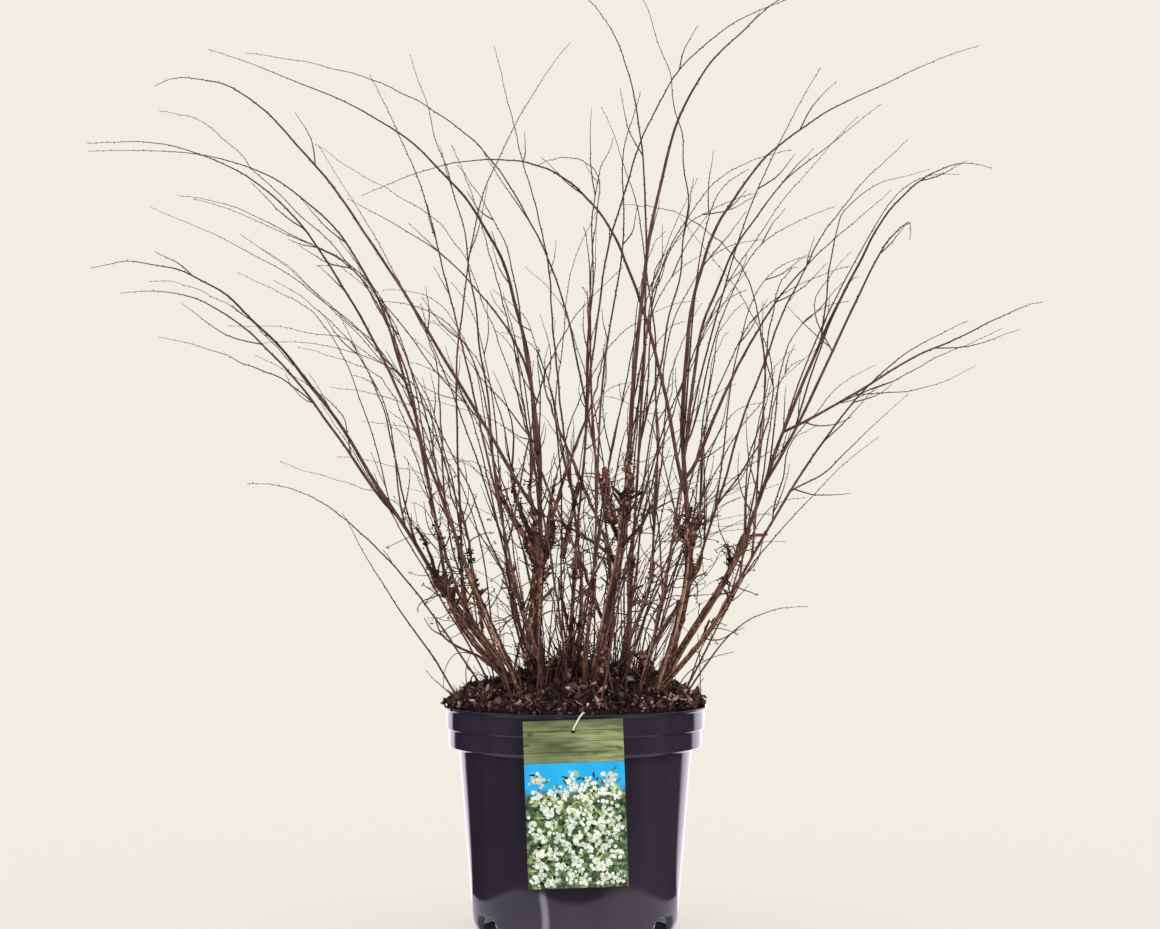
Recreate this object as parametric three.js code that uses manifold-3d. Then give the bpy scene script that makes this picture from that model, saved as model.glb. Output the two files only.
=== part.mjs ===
// A bare winter spirea in a round nursery pot. Millimetres, +Z up. The origin is the centre of the pot's
// flat underside, and the front, where the plant label hangs, faces -Y.
import * as THREE from 'three';
import Module from 'manifold-3d';

const wasm = await Module();
wasm.setup();

// ---------------------------------------------------------------- driving dimensions

const gap = 0.3; // air between pieces that touch
const seatGap = 0.4; // air round a foot that stands in the soil

// Pot: a ten-litre container with two stepped bands under a flared lip
const potHeight = 235;
const lipRadius = 139.7;
const upperBandRadius = 136.4;
const lowerBandRadius = 133.6;
const bandStep = 212; // height where the upper band steps in to the lower one
const wallTopRadius = 122.9;
const wallTop = 190.5; // height where the lower band steps in to the wall
const footRadius = 108.6; // where the wall starts to curve in to its foot
const footRounding = 17;
const wallThickness = 1.9;
const channelInner = 84; // the drainage channel under the floor
const channelOuter = 101.6;
const channelHeight = 20;
const notchHeight = 18; // the notches open the channel's skirt, wider at the bottom
const notchBottomHalf = 21;
const notchTopHalf = 13.6;
const notchBearings = [55, 125, 210, 330];
const roundSegments = 48;

// Soil: bark compost heaped above the rim
const soilEdgeHeight = 240;
const soilCrownHeight = 274;
const soilLump = 3.2;
const soilRings = [0, 30, 60, 88, 112, 128];
const footDepth = 10; // how far a cane's flat foot stands below the soil's surface

// Label: a thin card that hangs from a tie over the lip
const labelWidth = 102;
const labelHeight = 171;
const labelThickness = 0.6;
const labelCorner = 1.2;
const labelTurn = THREE.MathUtils.degToRad(2);
const labelHole = { x: -2, z: 219, radius: 2.5, belowTop: 11.5 };
const labelBack = -upperBandRadius - 2.6;
const tieRadius = 0.9;
const tieSides = 6;
const toggleHalf = 4.5;

// Limbs and shoots
const caneSides = 8;
const caneSteps = 4;
const caneFootRadius = 4.6;
const caneForkRadius = 3.2;
const caneFlare = 1.4; // extra radius where the foot meets the soil
const caneBow = 0.13; // the most that a cane's lower handle strays sideways, as a share of its length
const leaderSides = 4;
const leaderRadius = 2.5;
const shootSides = 3;
const shootSteps = 8;
const shootRadius = 1.9;
const seededSteps = 5;
const seededRadius = 1.1;
const basalRadius = 1.3;
const tipRadius = 0.5;
const twigRadius = 0.9;
const archPull = 0.8; // how far each handle of an arch runs towards its shoulder
const shootSway = 0.012; // the most that a long shoot strays sideways, as a share of its span
const taperPower = 1.15;
const twigLength = [50, 120];
const twigSpread = [0.4, 0.65]; // radians between a side twig and its shoot
const stubSides = 5;
const stubRadii = [2.6, 2.1];
const stubLength = [13, 24];
const clearance = 0.6; // least air between two masses

// Crown: the outline that seeded shoots stay inside. They fill its lower half.
const crownRadius = 530;
const crownHeight = 1030;
const crownFloor = 250;
const seededRoot = [0.01, 0.11]; // where a seeded shoot leaves its stem
const seededSpread = 1; // radians that a seeded shoot turns from its cane's bearing, at most
const seededRise = [110, 340]; // how much higher than its root it ends
const seededLean = [0.25, 0.8]; // how far it reaches sideways, as a share of that rise

// Each cane stands on a foot [x, y] and rises to its fork [x, y, z]. Its crown's first shoot runs on from
// the fork as that mass's stem. The others leave the stem at a share of its length. Every long shoot
// passes its bend halfway and ends at its tip. `girth` scales the radii of the cane and of these shoots,
// and `more` is how many shoots the seeded rule adds.
const canes = [
  {
    name: 'left_low', foot: [-74, -32], fork: [-145, -45, 370], girth: 0.95, more: 2,
    shoots: [
      { bend: [-345, -50, 650], tip: [-505, -60, 695] },
      { from: 0.08, bend: [-350, 0, 635], tip: [-490, 60, 675] },
    ],
  },
  {
    name: 'left_mid', foot: [-66, 8], fork: [-138, 20, 362], girth: 0.8, more: 2,
    shoots: [
      { bend: [-260, 50, 745], tip: [-530, 90, 830] },
      { from: 0.1, bend: [-235, 100, 690], tip: [-445, 190, 790] },
    ],
  },
  {
    name: 'left_back', foot: [-58, 48], fork: [-122, 95, 355], girth: 0.6, more: 2,
    shoots: [{ bend: [-115, 115, 725], tip: [-5, 140, 955] }],
  },
  {
    name: 'left_front', foot: [-55, -62], fork: [-108, -95, 376], girth: 0.75, more: 2,
    shoots: [{ bend: [-285, -120, 740], tip: [-495, -150, 815] }],
  },
  {
    name: 'centre_left', foot: [-34, -38], fork: [-36, -50, 395], girth: 1.15, more: 3,
    shoots: [
      { bend: [-105, -40, 755], tip: [-385, -30, 925] },
      { from: 0.04, bend: [-295, -10, 830], tip: [-450, 40, 895] },
      { from: 0.09, bend: [-75, -105, 640], tip: [-230, -170, 760] },
    ],
  },
  {
    name: 'centre', foot: [-4, 6], fork: [0, 15, 388], girth: 0.6, more: 2,
    shoots: [{ bend: [80, -20, 855], tip: [300, -60, 990] }],
  },
  {
    name: 'centre_front', foot: [24, -56], fork: [52, -85, 450], girth: 1.15, more: 3,
    shoots: [{ bend: [105, -115, 835], tip: [250, -150, 980] }],
  },
  {
    name: 'centre_back', foot: [26, 36], fork: [35, 55, 403], girth: 0.6, more: 2,
    shoots: [{ bend: [-80, 80, 805], tip: [-360, 110, 940] }],
  },
  {
    name: 'centre_right', foot: [50, 0], fork: [60, 20, 388], girth: 0.7, more: 2,
    shoots: [
      { bend: [70, 40, 840], tip: [-10, 60, 1010] },
      { from: 0.1, bend: [120, 90, 800], tip: [60, 170, 1030] },
    ],
  },
  {
    name: 'right_main', foot: [84, -38], fork: [118, -60, 420], girth: 1.2, more: 2,
    shoots: [
      { bend: [160, -40, 760], tip: [425, -20, 930] },
      { from: 0.04, bend: [5, -115, 770], tip: [-215, -186, 760] },
      { from: 0.09, bend: [160, -105, 705], tip: [310, -160, 855] },
      { from: 0.06, bend: [200, -5, 645], tip: [340, 60, 785] },
    ],
  },
  {
    name: 'right_side', foot: [95, 10], fork: [181, 35, 411], girth: 0.9, more: 2,
    shoots: [
      { bend: [330, 55, 750], tip: [450, 80, 810] },
      { from: 0.06, bend: [325, 5, 715], tip: [350, -40, 725] },
      { from: 0.12, bend: [405, 50, 625], tip: [505, 60, 665] },
    ],
  },
  {
    name: 'right_low', foot: [78, -66], fork: [157, -115, 351], girth: 0.7, more: 2,
    shoots: [{ bend: [280, -145, 550], tip: [395, -180, 635] }],
  },
  {
    name: 'right_back', foot: [68, 56], fork: [135, 85, 387], girth: 0.65, more: 2,
    shoots: [
      { bend: [250, 160, 700], tip: [380, 265, 860] },
      { from: 0.07, bend: [215, 90, 585], tip: [115, 120, 760] },
    ],
  },
  {
    name: 'back_left', foot: [-30, 78], fork: [-75, 145, 380], girth: 0.55, more: 2,
    shoots: [{ bend: [-125, 240, 730], tip: [-195, 380, 970] }],
  },
  {
    name: 'back', foot: [10, 88], fork: [5, 165, 385], girth: 0.55, more: 2,
    shoots: [{ bend: [-40, 250, 740], tip: [-95, 330, 975] }],
  },
  {
    name: 'back_right', foot: [46, 84], fork: [85, 150, 380], girth: 0.55, more: 2,
    shoots: [{ bend: [85, 290, 700], tip: [30, 430, 915] }],
  },
  {
    name: 'front_left', foot: [-42, -72], fork: [-62, -150, 375], girth: 0.5, more: 2,
    shoots: [{ bend: [-130, -270, 690], tip: [-190, -440, 850] }],
  },
  {
    name: 'front', foot: [14, -80], fork: [18, -160, 370], girth: 0.5, more: 2,
    shoots: [{ bend: [40, -290, 700], tip: [60, -470, 830] }],
  },
  {
    name: 'front_right', foot: [62, -76], fork: [92, -152, 375], girth: 0.5, more: 2,
    shoots: [{ bend: [150, -270, 680], tip: [230, -420, 860] }],
  },
];

// Thin shoots that rise straight from the soil round the canes
const basalShoots = [
  { name: 'low_left', foot: [-86, -60], bend: [-225, -100, 425], tip: [-335, -120, 470] },
  { name: 'edge_left', foot: [-116, -30], bend: [-190, -50, 350], tip: [-245, -60, 440] },
  { name: 'low_back_left', foot: [-84, 66], bend: [-200, 160, 430], tip: [-290, 240, 560] },
  { name: 'low_right', foot: [110, -12], bend: [175, -10, 320], tip: [245, -20, 340] },
  { name: 'edge_right', foot: [112, 34], bend: [205, 60, 400], tip: [330, 90, 520] },
  { name: 'low_back', foot: [64, 100], bend: [120, 210, 420], tip: [160, 330, 560] },
  { name: 'low_front', foot: [24, -112], bend: [60, -210, 420], tip: [80, -330, 540] },
  { name: 'low_front_left', foot: [-62, -92], bend: [-115, -190, 400], tip: [-165, -300, 500] },
  { name: 'fan_left', foot: [-46, -18], bend: [-140, -74, 520], tip: [-330, -234, 720] },
  { name: 'tall_left', foot: [-36, 14], bend: [-150, 110, 600], tip: [-290, 230, 850] },
  { name: 'tall_right', foot: [24, -20], bend: [130, -10, 620], tip: [300, 10, 860] },
  { name: 'tall_front', foot: [-6, -62], bend: [-60, -150, 600], tip: [-120, -300, 800] },
  { name: 'tall_back', foot: [0, 54], bend: [60, 170, 600], tip: [140, 320, 820] },
  { name: 'inner_left', foot: [-30, 44], bend: [-90, 110, 500], tip: [-190, 190, 640] },
  { name: 'inner_right', foot: [70, 26], bend: [150, 100, 480], tip: [270, 170, 620] },
  { name: 'inner_front', foot: [52, -44], bend: [90, -130, 520], tip: [170, -240, 680] },
  { name: 'inner_middle', foot: [-4, -30], bend: [-20, -20, 560], tip: [20, 20, 760] },
];

const woodMaterial = { color: 0x6b4534, roughness: 0.75, metalness: 0 };
const shootMaterial = { color: 0x4a302b, roughness: 0.7, metalness: 0 };

// ---------------------------------------------------------------- solids

const part = new THREE.Group();
part.name = 'spirea_shrub';

function addPiece(name, geometry, look) {
  const mesh = new THREE.Mesh(geometry, new THREE.MeshStandardMaterial(look));
  mesh.name = name;
  part.add(mesh);
}

/** Turns a closed geometry into a solid for joins and cuts. Points in the same place become one. */
function toSolid(geometry) {
  const position = geometry.getAttribute('position');
  const index = geometry.index ? Array.from(geometry.index.array) : [...Array(position.count).keys()];
  const seen = new Map();
  const coordinates = [];
  const merged = index.map((vertex) => {
    const place = [position.getX(vertex), position.getY(vertex), position.getZ(vertex)];
    const key = place.map((value) => Math.round(value * 1e4)).join();
    if (!seen.has(key)) {
      seen.set(key, seen.size);
      coordinates.push(...place);
    }
    return seen.get(key);
  });
  const triangles = [];
  for (let i = 0; i < merged.length; i += 3) {
    const [a, b, c] = merged.slice(i, i + 3);
    if (a !== b && b !== c && c !== a) triangles.push(a, b, c);
  }
  return new wasm.Manifold(new wasm.Mesh({
    numProp: 3,
    vertProperties: Float32Array.from(coordinates),
    triVerts: Uint32Array.from(triangles),
  }));
}

function toGeometry(solid) {
  const { vertProperties, triVerts } = solid.getMesh();
  const geometry = new THREE.BufferGeometry();
  geometry.setAttribute('position', new THREE.BufferAttribute(vertProperties, 3));
  geometry.setIndex(new THREE.BufferAttribute(triVerts, 1));
  return geometry;
}

/** A round body about +Z whose closed profile is given as [radius, height] pairs. */
function turned(profile, segments) {
  const outline = profile.map(([radius, height]) => new THREE.Vector2(radius, height));
  return new THREE.LatheGeometry(outline, segments).rotateX(Math.PI / 2);
}

/** A limb: rings of `sides` corners along a path, tapering by the radii, with flat ends. */
function limbGeometry(path, sides) {
  const { points, radii, startDirection, endDirection } = path;
  const last = points.length - 1;
  const runsAlongY = Math.abs(points[1].y - points[0].y) > 0.9 * points[1].distanceTo(points[0]);
  const normal = runsAlongY ? new THREE.Vector3(1, 0, 0) : new THREE.Vector3(0, 1, 0);
  const coordinates = [];
  const triangles = [];
  points.forEach((point, ring) => {
    const tangent = new THREE.Vector3()
      .subVectors(points[Math.min(ring + 1, last)], points[Math.max(ring - 1, 0)]).normalize();
    if (ring === 0 && startDirection) tangent.copy(startDirection);
    if (ring === last && endDirection) tangent.copy(endDirection);
    normal.addScaledVector(tangent, -normal.dot(tangent)).normalize();
    const binormal = new THREE.Vector3().crossVectors(tangent, normal);
    for (let side = 0; side < sides; side += 1) {
      const angle = (2 * Math.PI * side) / sides;
      const corner = point.clone()
        .addScaledVector(normal, radii[ring] * Math.cos(angle))
        .addScaledVector(binormal, radii[ring] * Math.sin(angle));
      coordinates.push(corner.x, corner.y, corner.z);
    }
  });
  for (let ring = 0; ring < last; ring += 1) {
    for (let side = 0; side < sides; side += 1) {
      const here = ring * sides + side;
      const beside = ring * sides + ((side + 1) % sides);
      triangles.push(here, beside, beside + sides, here, beside + sides, here + sides);
    }
  }
  for (let side = 1; side < sides - 1; side += 1) {
    triangles.push(0, side + 1, side);
    triangles.push(last * sides, last * sides + side, last * sides + side + 1);
  }
  const geometry = new THREE.BufferGeometry();
  geometry.setAttribute('position', new THREE.Float32BufferAttribute(coordinates, 3));
  geometry.setIndex(triangles);
  return geometry;
}

// ---------------------------------------------------------------- growth

/** Mulberry32: the same seed always grows the same shrub. */
function seededRandom(seed) {
  let state = seed >>> 0;
  return (low = 0, high = 1) => {
    state = (state + 0x6d2b79f5) >>> 0;
    let mixed = state;
    mixed = Math.imul(mixed ^ (mixed >>> 15), mixed | 1);
    mixed ^= mixed + Math.imul(mixed ^ (mixed >>> 7), mixed | 61);
    return low + (high - low) * (((mixed ^ (mixed >>> 14)) >>> 0) / 4294967296);
  };
}

const vector = (place) => new THREE.Vector3(...place);

/** The arch of a long shoot: it passes its bend halfway, with both handles towards one shoulder. */
function archCurve(root, bend, tip) {
  const ends = (1 + 3 * (1 - archPull)) / 8;
  const shoulder = bend.clone().addScaledVector(root, -ends).addScaledVector(tip, -ends)
    .divideScalar(1 - 2 * ends);
  return new THREE.CubicBezierCurve3(
    root, root.clone().lerp(shoulder, archPull), tip.clone().lerp(shoulder, archPull), tip,
  );
}

/** Points and radii along a curve, with a slow sideways sway that dies out at both ends. */
function grow(curve, steps, rootRadius, random) {
  const span = new THREE.Vector3().subVectors(curve.getPoint(1), curve.getPoint(0));
  const side = new THREE.Vector3(-span.y, span.x, 0).normalize();
  const sway = span.length() * random(-shootSway, shootSway);
  const waves = random(0.7, 1.6);
  const points = [];
  const radii = [];
  for (let step = 0; step <= steps; step += 1) {
    const share = step / steps;
    const offset = sway * Math.sin(Math.PI * share) * Math.sin(2 * Math.PI * waves * share);
    points.push(curve.getPoint(share).addScaledVector(side, offset));
    radii.push(tipRadius + (rootRadius - tipRadius) * (1 - share) ** taperPower);
  }
  return { points, radii, startDirection: curve.getTangent(0) };
}

/** Least distance between two straight pieces of limb. */
function pieceDistance(a, b) {
  const first = new THREE.Vector3().subVectors(a.to, a.from);
  const second = new THREE.Vector3().subVectors(b.to, b.from);
  const between = new THREE.Vector3().subVectors(a.from, b.from);
  const aa = first.dot(first);
  const bb = second.dot(second);
  const ab = first.dot(second);
  const ac = first.dot(between);
  const bc = second.dot(between);
  const clamp = (value) => Math.min(1, Math.max(0, value));
  const spread = aa * bb - ab * ab;
  let along = spread > 1e-9 * aa * bb ? clamp((ab * bc - ac * bb) / spread) : 0;
  let across = (ab * along + bc) / bb;
  if (across < 0 || across > 1) {
    across = clamp(across);
    along = clamp((ab * across - ac) / aa);
  }
  return between.addScaledVector(first, along).addScaledVector(second, -across).length();
}

const limbPieces = []; // every straight piece of limb that has been placed, with its node's name

function piecesOf(path, node) {
  return path.points.slice(1).map((to, step) => ({
    node, from: path.points[step], to, radius: path.radii[step],
  }));
}

/** True where a path keeps clear of every limb but those of the nodes named as its own. */
function isClear(path, ownNodes) {
  return piecesOf(path).every((piece) => limbPieces.every((other) => {
    if (ownNodes.includes(other.node)) return true;
    const needed = piece.radius + other.radius + clearance;
    return pieceDistance(piece, other) > needed;
  }));
}

function place(path, node) {
  limbPieces.push(...piecesOf(path, node));
  return path;
}

/** A point on a path at a share of its length of steps, with the direction of growth there. */
function pointOn(path, share) {
  const along = share * (path.points.length - 1);
  const step = Math.min(Math.floor(along), path.points.length - 2);
  const point = path.points[step].clone().lerp(path.points[step + 1], along - step);
  const direction = new THREE.Vector3().subVectors(path.points[step + 1], path.points[step]).normalize();
  return { point, direction };
}

/** The height of the crown's outline at a distance from the pot's axis. */
function crownTopAt(reach) {
  const share = Math.min(reach / crownRadius, 1);
  return crownFloor + (crownHeight - crownFloor) * Math.sqrt(1 - share ** 3);
}

/** Where a seeded shoot bends and ends: outwards from its cane, inside the crown's outline. */
function seededArch(root, heading, random) {
  const bearing = heading + random(-seededSpread, seededSpread);
  const rise = random(...seededRise);
  const reach = rise * random(...seededLean);
  const tip = root.clone().add(new THREE.Vector3(reach * Math.cos(bearing), reach * Math.sin(bearing), 0));
  tip.z = Math.min(root.z + rise, crownTopAt(Math.hypot(tip.x, tip.y)));
  const outwards = random(0.28, 0.42);
  const upwards = random(0.66, 0.82);
  const bend = new THREE.Vector3(
    root.x + (tip.x - root.x) * outwards,
    root.y + (tip.y - root.y) * outwards,
    root.z + (tip.z - root.z) * upwards,
  );
  return archCurve(root, bend, tip);
}

/** A short side twig that leaves its shoot at an acute angle. */
function sideTwig(shoot, share, random) {
  const { point, direction } = pointOn(shoot, share);
  const turn = random(0, 2 * Math.PI);
  const level = new THREE.Vector3(-direction.y, direction.x, 0).normalize();
  const steep = new THREE.Vector3().crossVectors(direction, level);
  const aside = level.multiplyScalar(Math.cos(turn)).addScaledVector(steep, Math.sin(turn));
  const length = random(...twigLength) * (1.15 - 0.6 * share);
  const spread = random(...twigSpread);
  const first = point.clone()
    .addScaledVector(direction, 0.5 * length * Math.cos(spread))
    .addScaledVector(aside, 0.5 * length * Math.sin(spread));
  const end = first.clone()
    .addScaledVector(direction, 0.5 * length * Math.cos(0.75 * spread))
    .addScaledVector(aside, 0.5 * length * Math.sin(0.75 * spread));
  return { points: [point, first, end], radii: [twigRadius, 0.8 * twigRadius, 0.5 * twigRadius] };
}

function isInCrown(path) {
  return path.points.every(({ x, y, z }) => Math.hypot(x, y) < crownRadius + 5 && z < crownHeight);
}

// ---------------------------------------------------------------- pot

function potProfile() {
  const inner = (radius) => radius - wallThickness;
  return [
    [0, 0], [channelInner, 0], [channelInner + 2, channelHeight], [channelOuter - 1, channelHeight],
    [channelOuter, 0], [footRadius - 4.6, 0], [footRadius - 0.7, 8], [footRadius, footRounding],
    [wallTopRadius, wallTop],
    [lowerBandRadius, wallTop + 2], [lowerBandRadius + 0.4, bandStep - 0.8], [upperBandRadius, bandStep],
    [upperBandRadius + 0.2, potHeight - 3.5], [lipRadius, potHeight - 2], [lipRadius, potHeight],
    [inner(upperBandRadius) - 0.3, potHeight], [inner(upperBandRadius) - 0.6, bandStep + 1.8],
    [inner(lowerBandRadius), bandStep + 1], [inner(lowerBandRadius) - 0.4, wallTop + 4],
    [inner(wallTopRadius), wallTop + 2], [inner(footRadius), channelHeight + 2],
    [channelInner + 0.4, channelHeight + 2], [channelInner - 1.6, 2], [0, 2],
  ];
}

/** The wedge that one notch takes out of the channel's skirt, along +X. */
function notchWedge() {
  const outline = [
    [-notchBottomHalf, -1], [notchBottomHalf, -1], [notchTopHalf, notchHeight], [-notchTopHalf, notchHeight],
  ].map((corner) => new THREE.Vector2(...corner));
  const start = channelInner + 5;
  const depth = footRadius + 10 - start;
  const wedge = new THREE.ExtrudeGeometry(new THREE.Shape(outline), { depth, bevelEnabled: false });
  return wedge.rotateX(Math.PI / 2).rotateZ(Math.PI / 2).translate(start, 0, 0);
}

function makePot() {
  let pot = toSolid(turned(potProfile(), roundSegments));
  for (const bearing of notchBearings) {
    const turn = THREE.MathUtils.degToRad(bearing);
    pot = pot.subtract(toSolid(notchWedge().rotateZ(turn)));
  }
  addPiece('pot', toGeometry(pot), { color: 0x28242d, roughness: 0.22, metalness: 0 });
}

// ---------------------------------------------------------------- soil

/** The height of the heaped compost, lumpy away from the rim. */
function soilHeight(x, y) {
  const radius = Math.hypot(x, y);
  const share = Math.min(radius / (upperBandRadius - 3), 1);
  const heap = soilEdgeHeight + (soilCrownHeight - soilEdgeHeight) * (1 - share ** 1.5);
  const lumps = Math.sin(x / 17 + 1.3) * Math.sin(y / 14 + 0.4) + 0.6 * Math.sin((x + y) / 9);
  return heap + soilLump * lumps * (1 - share ** 6);
}

function soilGeometry() {
  const side = (radius) => radius - wallThickness - gap - 0.1;
  const wall = [
    [0, channelHeight + 2 + gap], [side(footRadius) - 1, channelHeight + 2 + gap],
    [side(wallTopRadius), wallTop], [side(wallTopRadius), wallTop + 4.4],
    [side(lowerBandRadius) - 0.6, wallTop + 4.4], [side(lowerBandRadius) - 0.6, bandStep + 1.4],
    [side(upperBandRadius) - 1, bandStep + 3], [side(upperBandRadius) - 1, soilEdgeHeight - 4],
  ];
  const top = soilRings.toReversed().map((radius) => [radius, soilCrownHeight]);
  const geometry = turned([...wall, ...top], roundSegments);
  const position = geometry.getAttribute('position');
  for (let i = 0; i < position.count; i += 1) {
    if (position.getZ(i) === soilCrownHeight) {
      position.setZ(i, soilHeight(position.getX(i), position.getY(i)));
    }
  }
  return geometry;
}

/** The hole that a foot stands in: the foot's own shape, grown by the seat's air. */
function footSocket(path, sides) {
  const points = path.points.slice(0, 2).map((point) => point.clone());
  points[0].z -= seatGap;
  const grown = seatGap / Math.cos(Math.PI / sides);
  const radii = path.radii.slice(0, 2).map((radius) => radius + grown);
  return toSolid(limbGeometry({ points, radii, startDirection: path.startDirection }, sides));
}

// ---------------------------------------------------------------- label and tie

function makeLabel() {
  const left = -labelWidth / 2;
  const right = labelWidth / 2;
  const bottom = labelHole.belowTop - labelHeight;
  const top = labelHole.belowTop;
  const card = new THREE.Shape();
  card.moveTo(left + labelCorner, bottom);
  card.lineTo(right - labelCorner, bottom);
  card.absarc(right - labelCorner, bottom + labelCorner, labelCorner, -Math.PI / 2, 0);
  card.absarc(right - labelCorner, top - labelCorner, labelCorner, 0, Math.PI / 2);
  card.absarc(left + labelCorner, top - labelCorner, labelCorner, Math.PI / 2, Math.PI);
  card.absarc(left + labelCorner, bottom + labelCorner, labelCorner, Math.PI, 1.5 * Math.PI);
  const hole = new THREE.Path();
  hole.absarc(0, 0, labelHole.radius, 0, 2 * Math.PI);
  card.holes.push(hole);
  const geometry = new THREE.ExtrudeGeometry(card, {
    depth: labelThickness, bevelEnabled: false, curveSegments: 3,
  });
  geometry.rotateZ(labelTurn).rotateX(Math.PI / 2);
  geometry.translate(labelHole.x, labelBack, labelHole.z);
  addPiece('label', toGeometry(toSolid(geometry)), { color: 0x8f9a68, roughness: 0.4, metalness: 0 });
}

/** The tie runs from a toggle behind the card, through its hole, over the lip and into the soil. */
function tiePath() {
  const behind = labelBack + tieRadius + 0.35;
  const before = labelBack - labelThickness - tieRadius - 0.4;
  const inHole = labelHole.z + labelHole.radius - tieRadius - gap;
  const overLip = potHeight + tieRadius + gap;
  const insideLip = -(upperBandRadius - wallThickness - 0.6) + tieRadius + 0.6;
  const soilTop = soilHeight(labelHole.x + 16, insideLip + 9);
  const points = [
    [labelHole.x, behind, inHole],
    [labelHole.x, (behind + before) / 2, inHole],
    [labelHole.x + 0.2, before + 0.2, inHole + 0.6],
    [labelHole.x + 1.6, before - 0.5, inHole + 4],
    [labelHole.x + 6.5, before - 0.5, potHeight - 2],
    [labelHole.x + 8.5, before, overLip - 0.4],
    [labelHole.x + 10, before + 3, overLip + 1],
    [labelHole.x + 13, insideLip, overLip + 1.2],
    [labelHole.x + 15, insideLip + 5, Math.max(soilTop + 3, overLip + 2)],
    [labelHole.x + 16, insideLip + 9, soilTop - 3],
  ].map(vector);
  return { points, radii: points.map(() => tieRadius) };
}

/** The short bar behind the card that keeps the tie in its hole. */
function togglePath(tie) {
  const [middle] = tie.points;
  const ends = [-toggleHalf, toggleHalf].map((x) => middle.clone().setX(middle.x + x));
  return { points: ends, radii: [tieRadius, tieRadius] };
}

/** The hole in the soil round the tie's last stretch. */
function tieSocket(tie) {
  const [from, to] = tie.points.slice(-2);
  const grown = tieRadius + seatGap;
  const end = to.clone().setZ(to.z - seatGap);
  return toSolid(limbGeometry({ points: [from, end], radii: [grown, grown] }, tieSides));
}

// ---------------------------------------------------------------- canes and masses

/** A foot's place in the soil, on a flat cut just under the surface. */
function footAt([x, y]) {
  return new THREE.Vector3(x, y, soilHeight(x, y) - footDepth);
}

/** A cane climbs out of the soil, bows a little and ends at its fork along its leader's direction. */
function canePath(cane, leaderDirection, random) {
  const foot = footAt(cane.foot);
  const fork = vector(cane.fork);
  const length = foot.distanceTo(fork);
  const bow = [0, 1].map(() => length * random(-caneBow, caneBow));
  const curve = new THREE.CubicBezierCurve3(
    foot, foot.clone().add(new THREE.Vector3(...bow, 0.2 * length)),
    fork.clone().addScaledVector(leaderDirection, -0.4 * length), fork,
  );
  const points = [];
  const radii = [];
  for (let step = 0; step <= caneSteps; step += 1) {
    const share = step / caneSteps;
    points.push(curve.getPoint(share));
    const flare = caneFlare * Math.exp(-9 * share);
    radii.push(cane.girth * (caneForkRadius + (caneFootRadius - caneForkRadius) * (1 - share) + flare));
  }
  return { points, radii, startDirection: new THREE.Vector3(0, 0, 1), endDirection: leaderDirection };
}

/** A pruned stub on the upper half of a cane, its root sunk to the cane's axis. */
function stubPath(mass, share, random) {
  const { point, direction } = pointOn(mass.limb, share);
  const turn = random(0, 2 * Math.PI);
  const outwards = new THREE.Vector3(Math.cos(turn), Math.sin(turn), 0.5)
    .addScaledVector(direction, 0.6).normalize();
  const end = point.clone().addScaledVector(outwards, random(...stubLength));
  return { points: [point, end], radii: stubRadii.map((radius) => mass.girth * radius) };
}

function fuse(paths, sides) {
  return paths.map((path, i) => toSolid(limbGeometry(path, sides[i]))).reduce((all, one) => all.add(one));
}

const masses = canes.map((cane, number) => {
  const random = seededRandom(1000 + number);
  const [leader] = cane.shoots;
  const fork = vector(cane.fork);
  const direction = archCurve(fork, vector(leader.bend), vector(leader.tip)).getTangent(0);
  const root = fork.clone().addScaledVector(direction, gap);
  const curve = archCurve(root, vector(leader.bend), vector(leader.tip));
  const limb = canePath(cane, direction, random);
  const stem = grow(curve, shootSteps, cane.girth * leaderRadius, random);
  stem.startDirection = direction;
  const heading = Math.atan2(cane.fork[1], cane.fork[0]);
  return { ...cane, limb, stem, heading, random, long: [stem], twigs: [], stubs: [] };
});

for (const mass of masses) place(mass.limb, `cane_${mass.name}`);
for (const mass of masses) place(mass.stem, `twigs_${mass.name}`);

for (const mass of masses) {
  for (const shoot of mass.shoots.slice(1)) {
    const root = pointOn(mass.stem, shoot.from).point;
    const path = grow(archCurve(root, vector(shoot.bend), vector(shoot.tip)), shootSteps,
      mass.girth * shootRadius, mass.random);
    mass.long.push(place(path, `twigs_${mass.name}`));
  }
}

const basals = basalShoots.map((shoot, number) => {
  const random = seededRandom(2000 + number);
  const path = grow(archCurve(footAt(shoot.foot), vector(shoot.bend), vector(shoot.tip)),
    shootSteps, basalRadius, random);
  path.startDirection = new THREE.Vector3(0, 0, 1);
  return { name: shoot.name, path: place(path, `shoot_${shoot.name}`) };
});

for (const mass of masses) {
  for (let tries = 0, grown = 0; grown < mass.more && tries < 3 * mass.more; tries += 1) {
    const root = pointOn(mass.stem, mass.random(...seededRoot)).point;
    const curve = seededArch(root, mass.heading, mass.random);
    const path = grow(curve, seededSteps, seededRadius, mass.random);
    if (isClear(path, [`twigs_${mass.name}`])) {
      mass.long.push(place(path, `twigs_${mass.name}`));
      grown += 1;
    }
  }
}

for (const mass of masses) {
  for (const shoot of mass.long) {
    const twig = sideTwig(shoot, mass.random(0.35, 0.75), mass.random);
    if (isInCrown(twig) && isClear(twig, [`twigs_${mass.name}`])) {
      mass.twigs.push(place(twig, `twigs_${mass.name}`));
    }
  }
  const stub = stubPath(mass, mass.random(0.55, 0.85), mass.random);
  if (isClear(stub, [`cane_${mass.name}`])) mass.stubs.push(place(stub, `cane_${mass.name}`));
}

// ---------------------------------------------------------------- assembly

makePot();
makeLabel();

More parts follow.
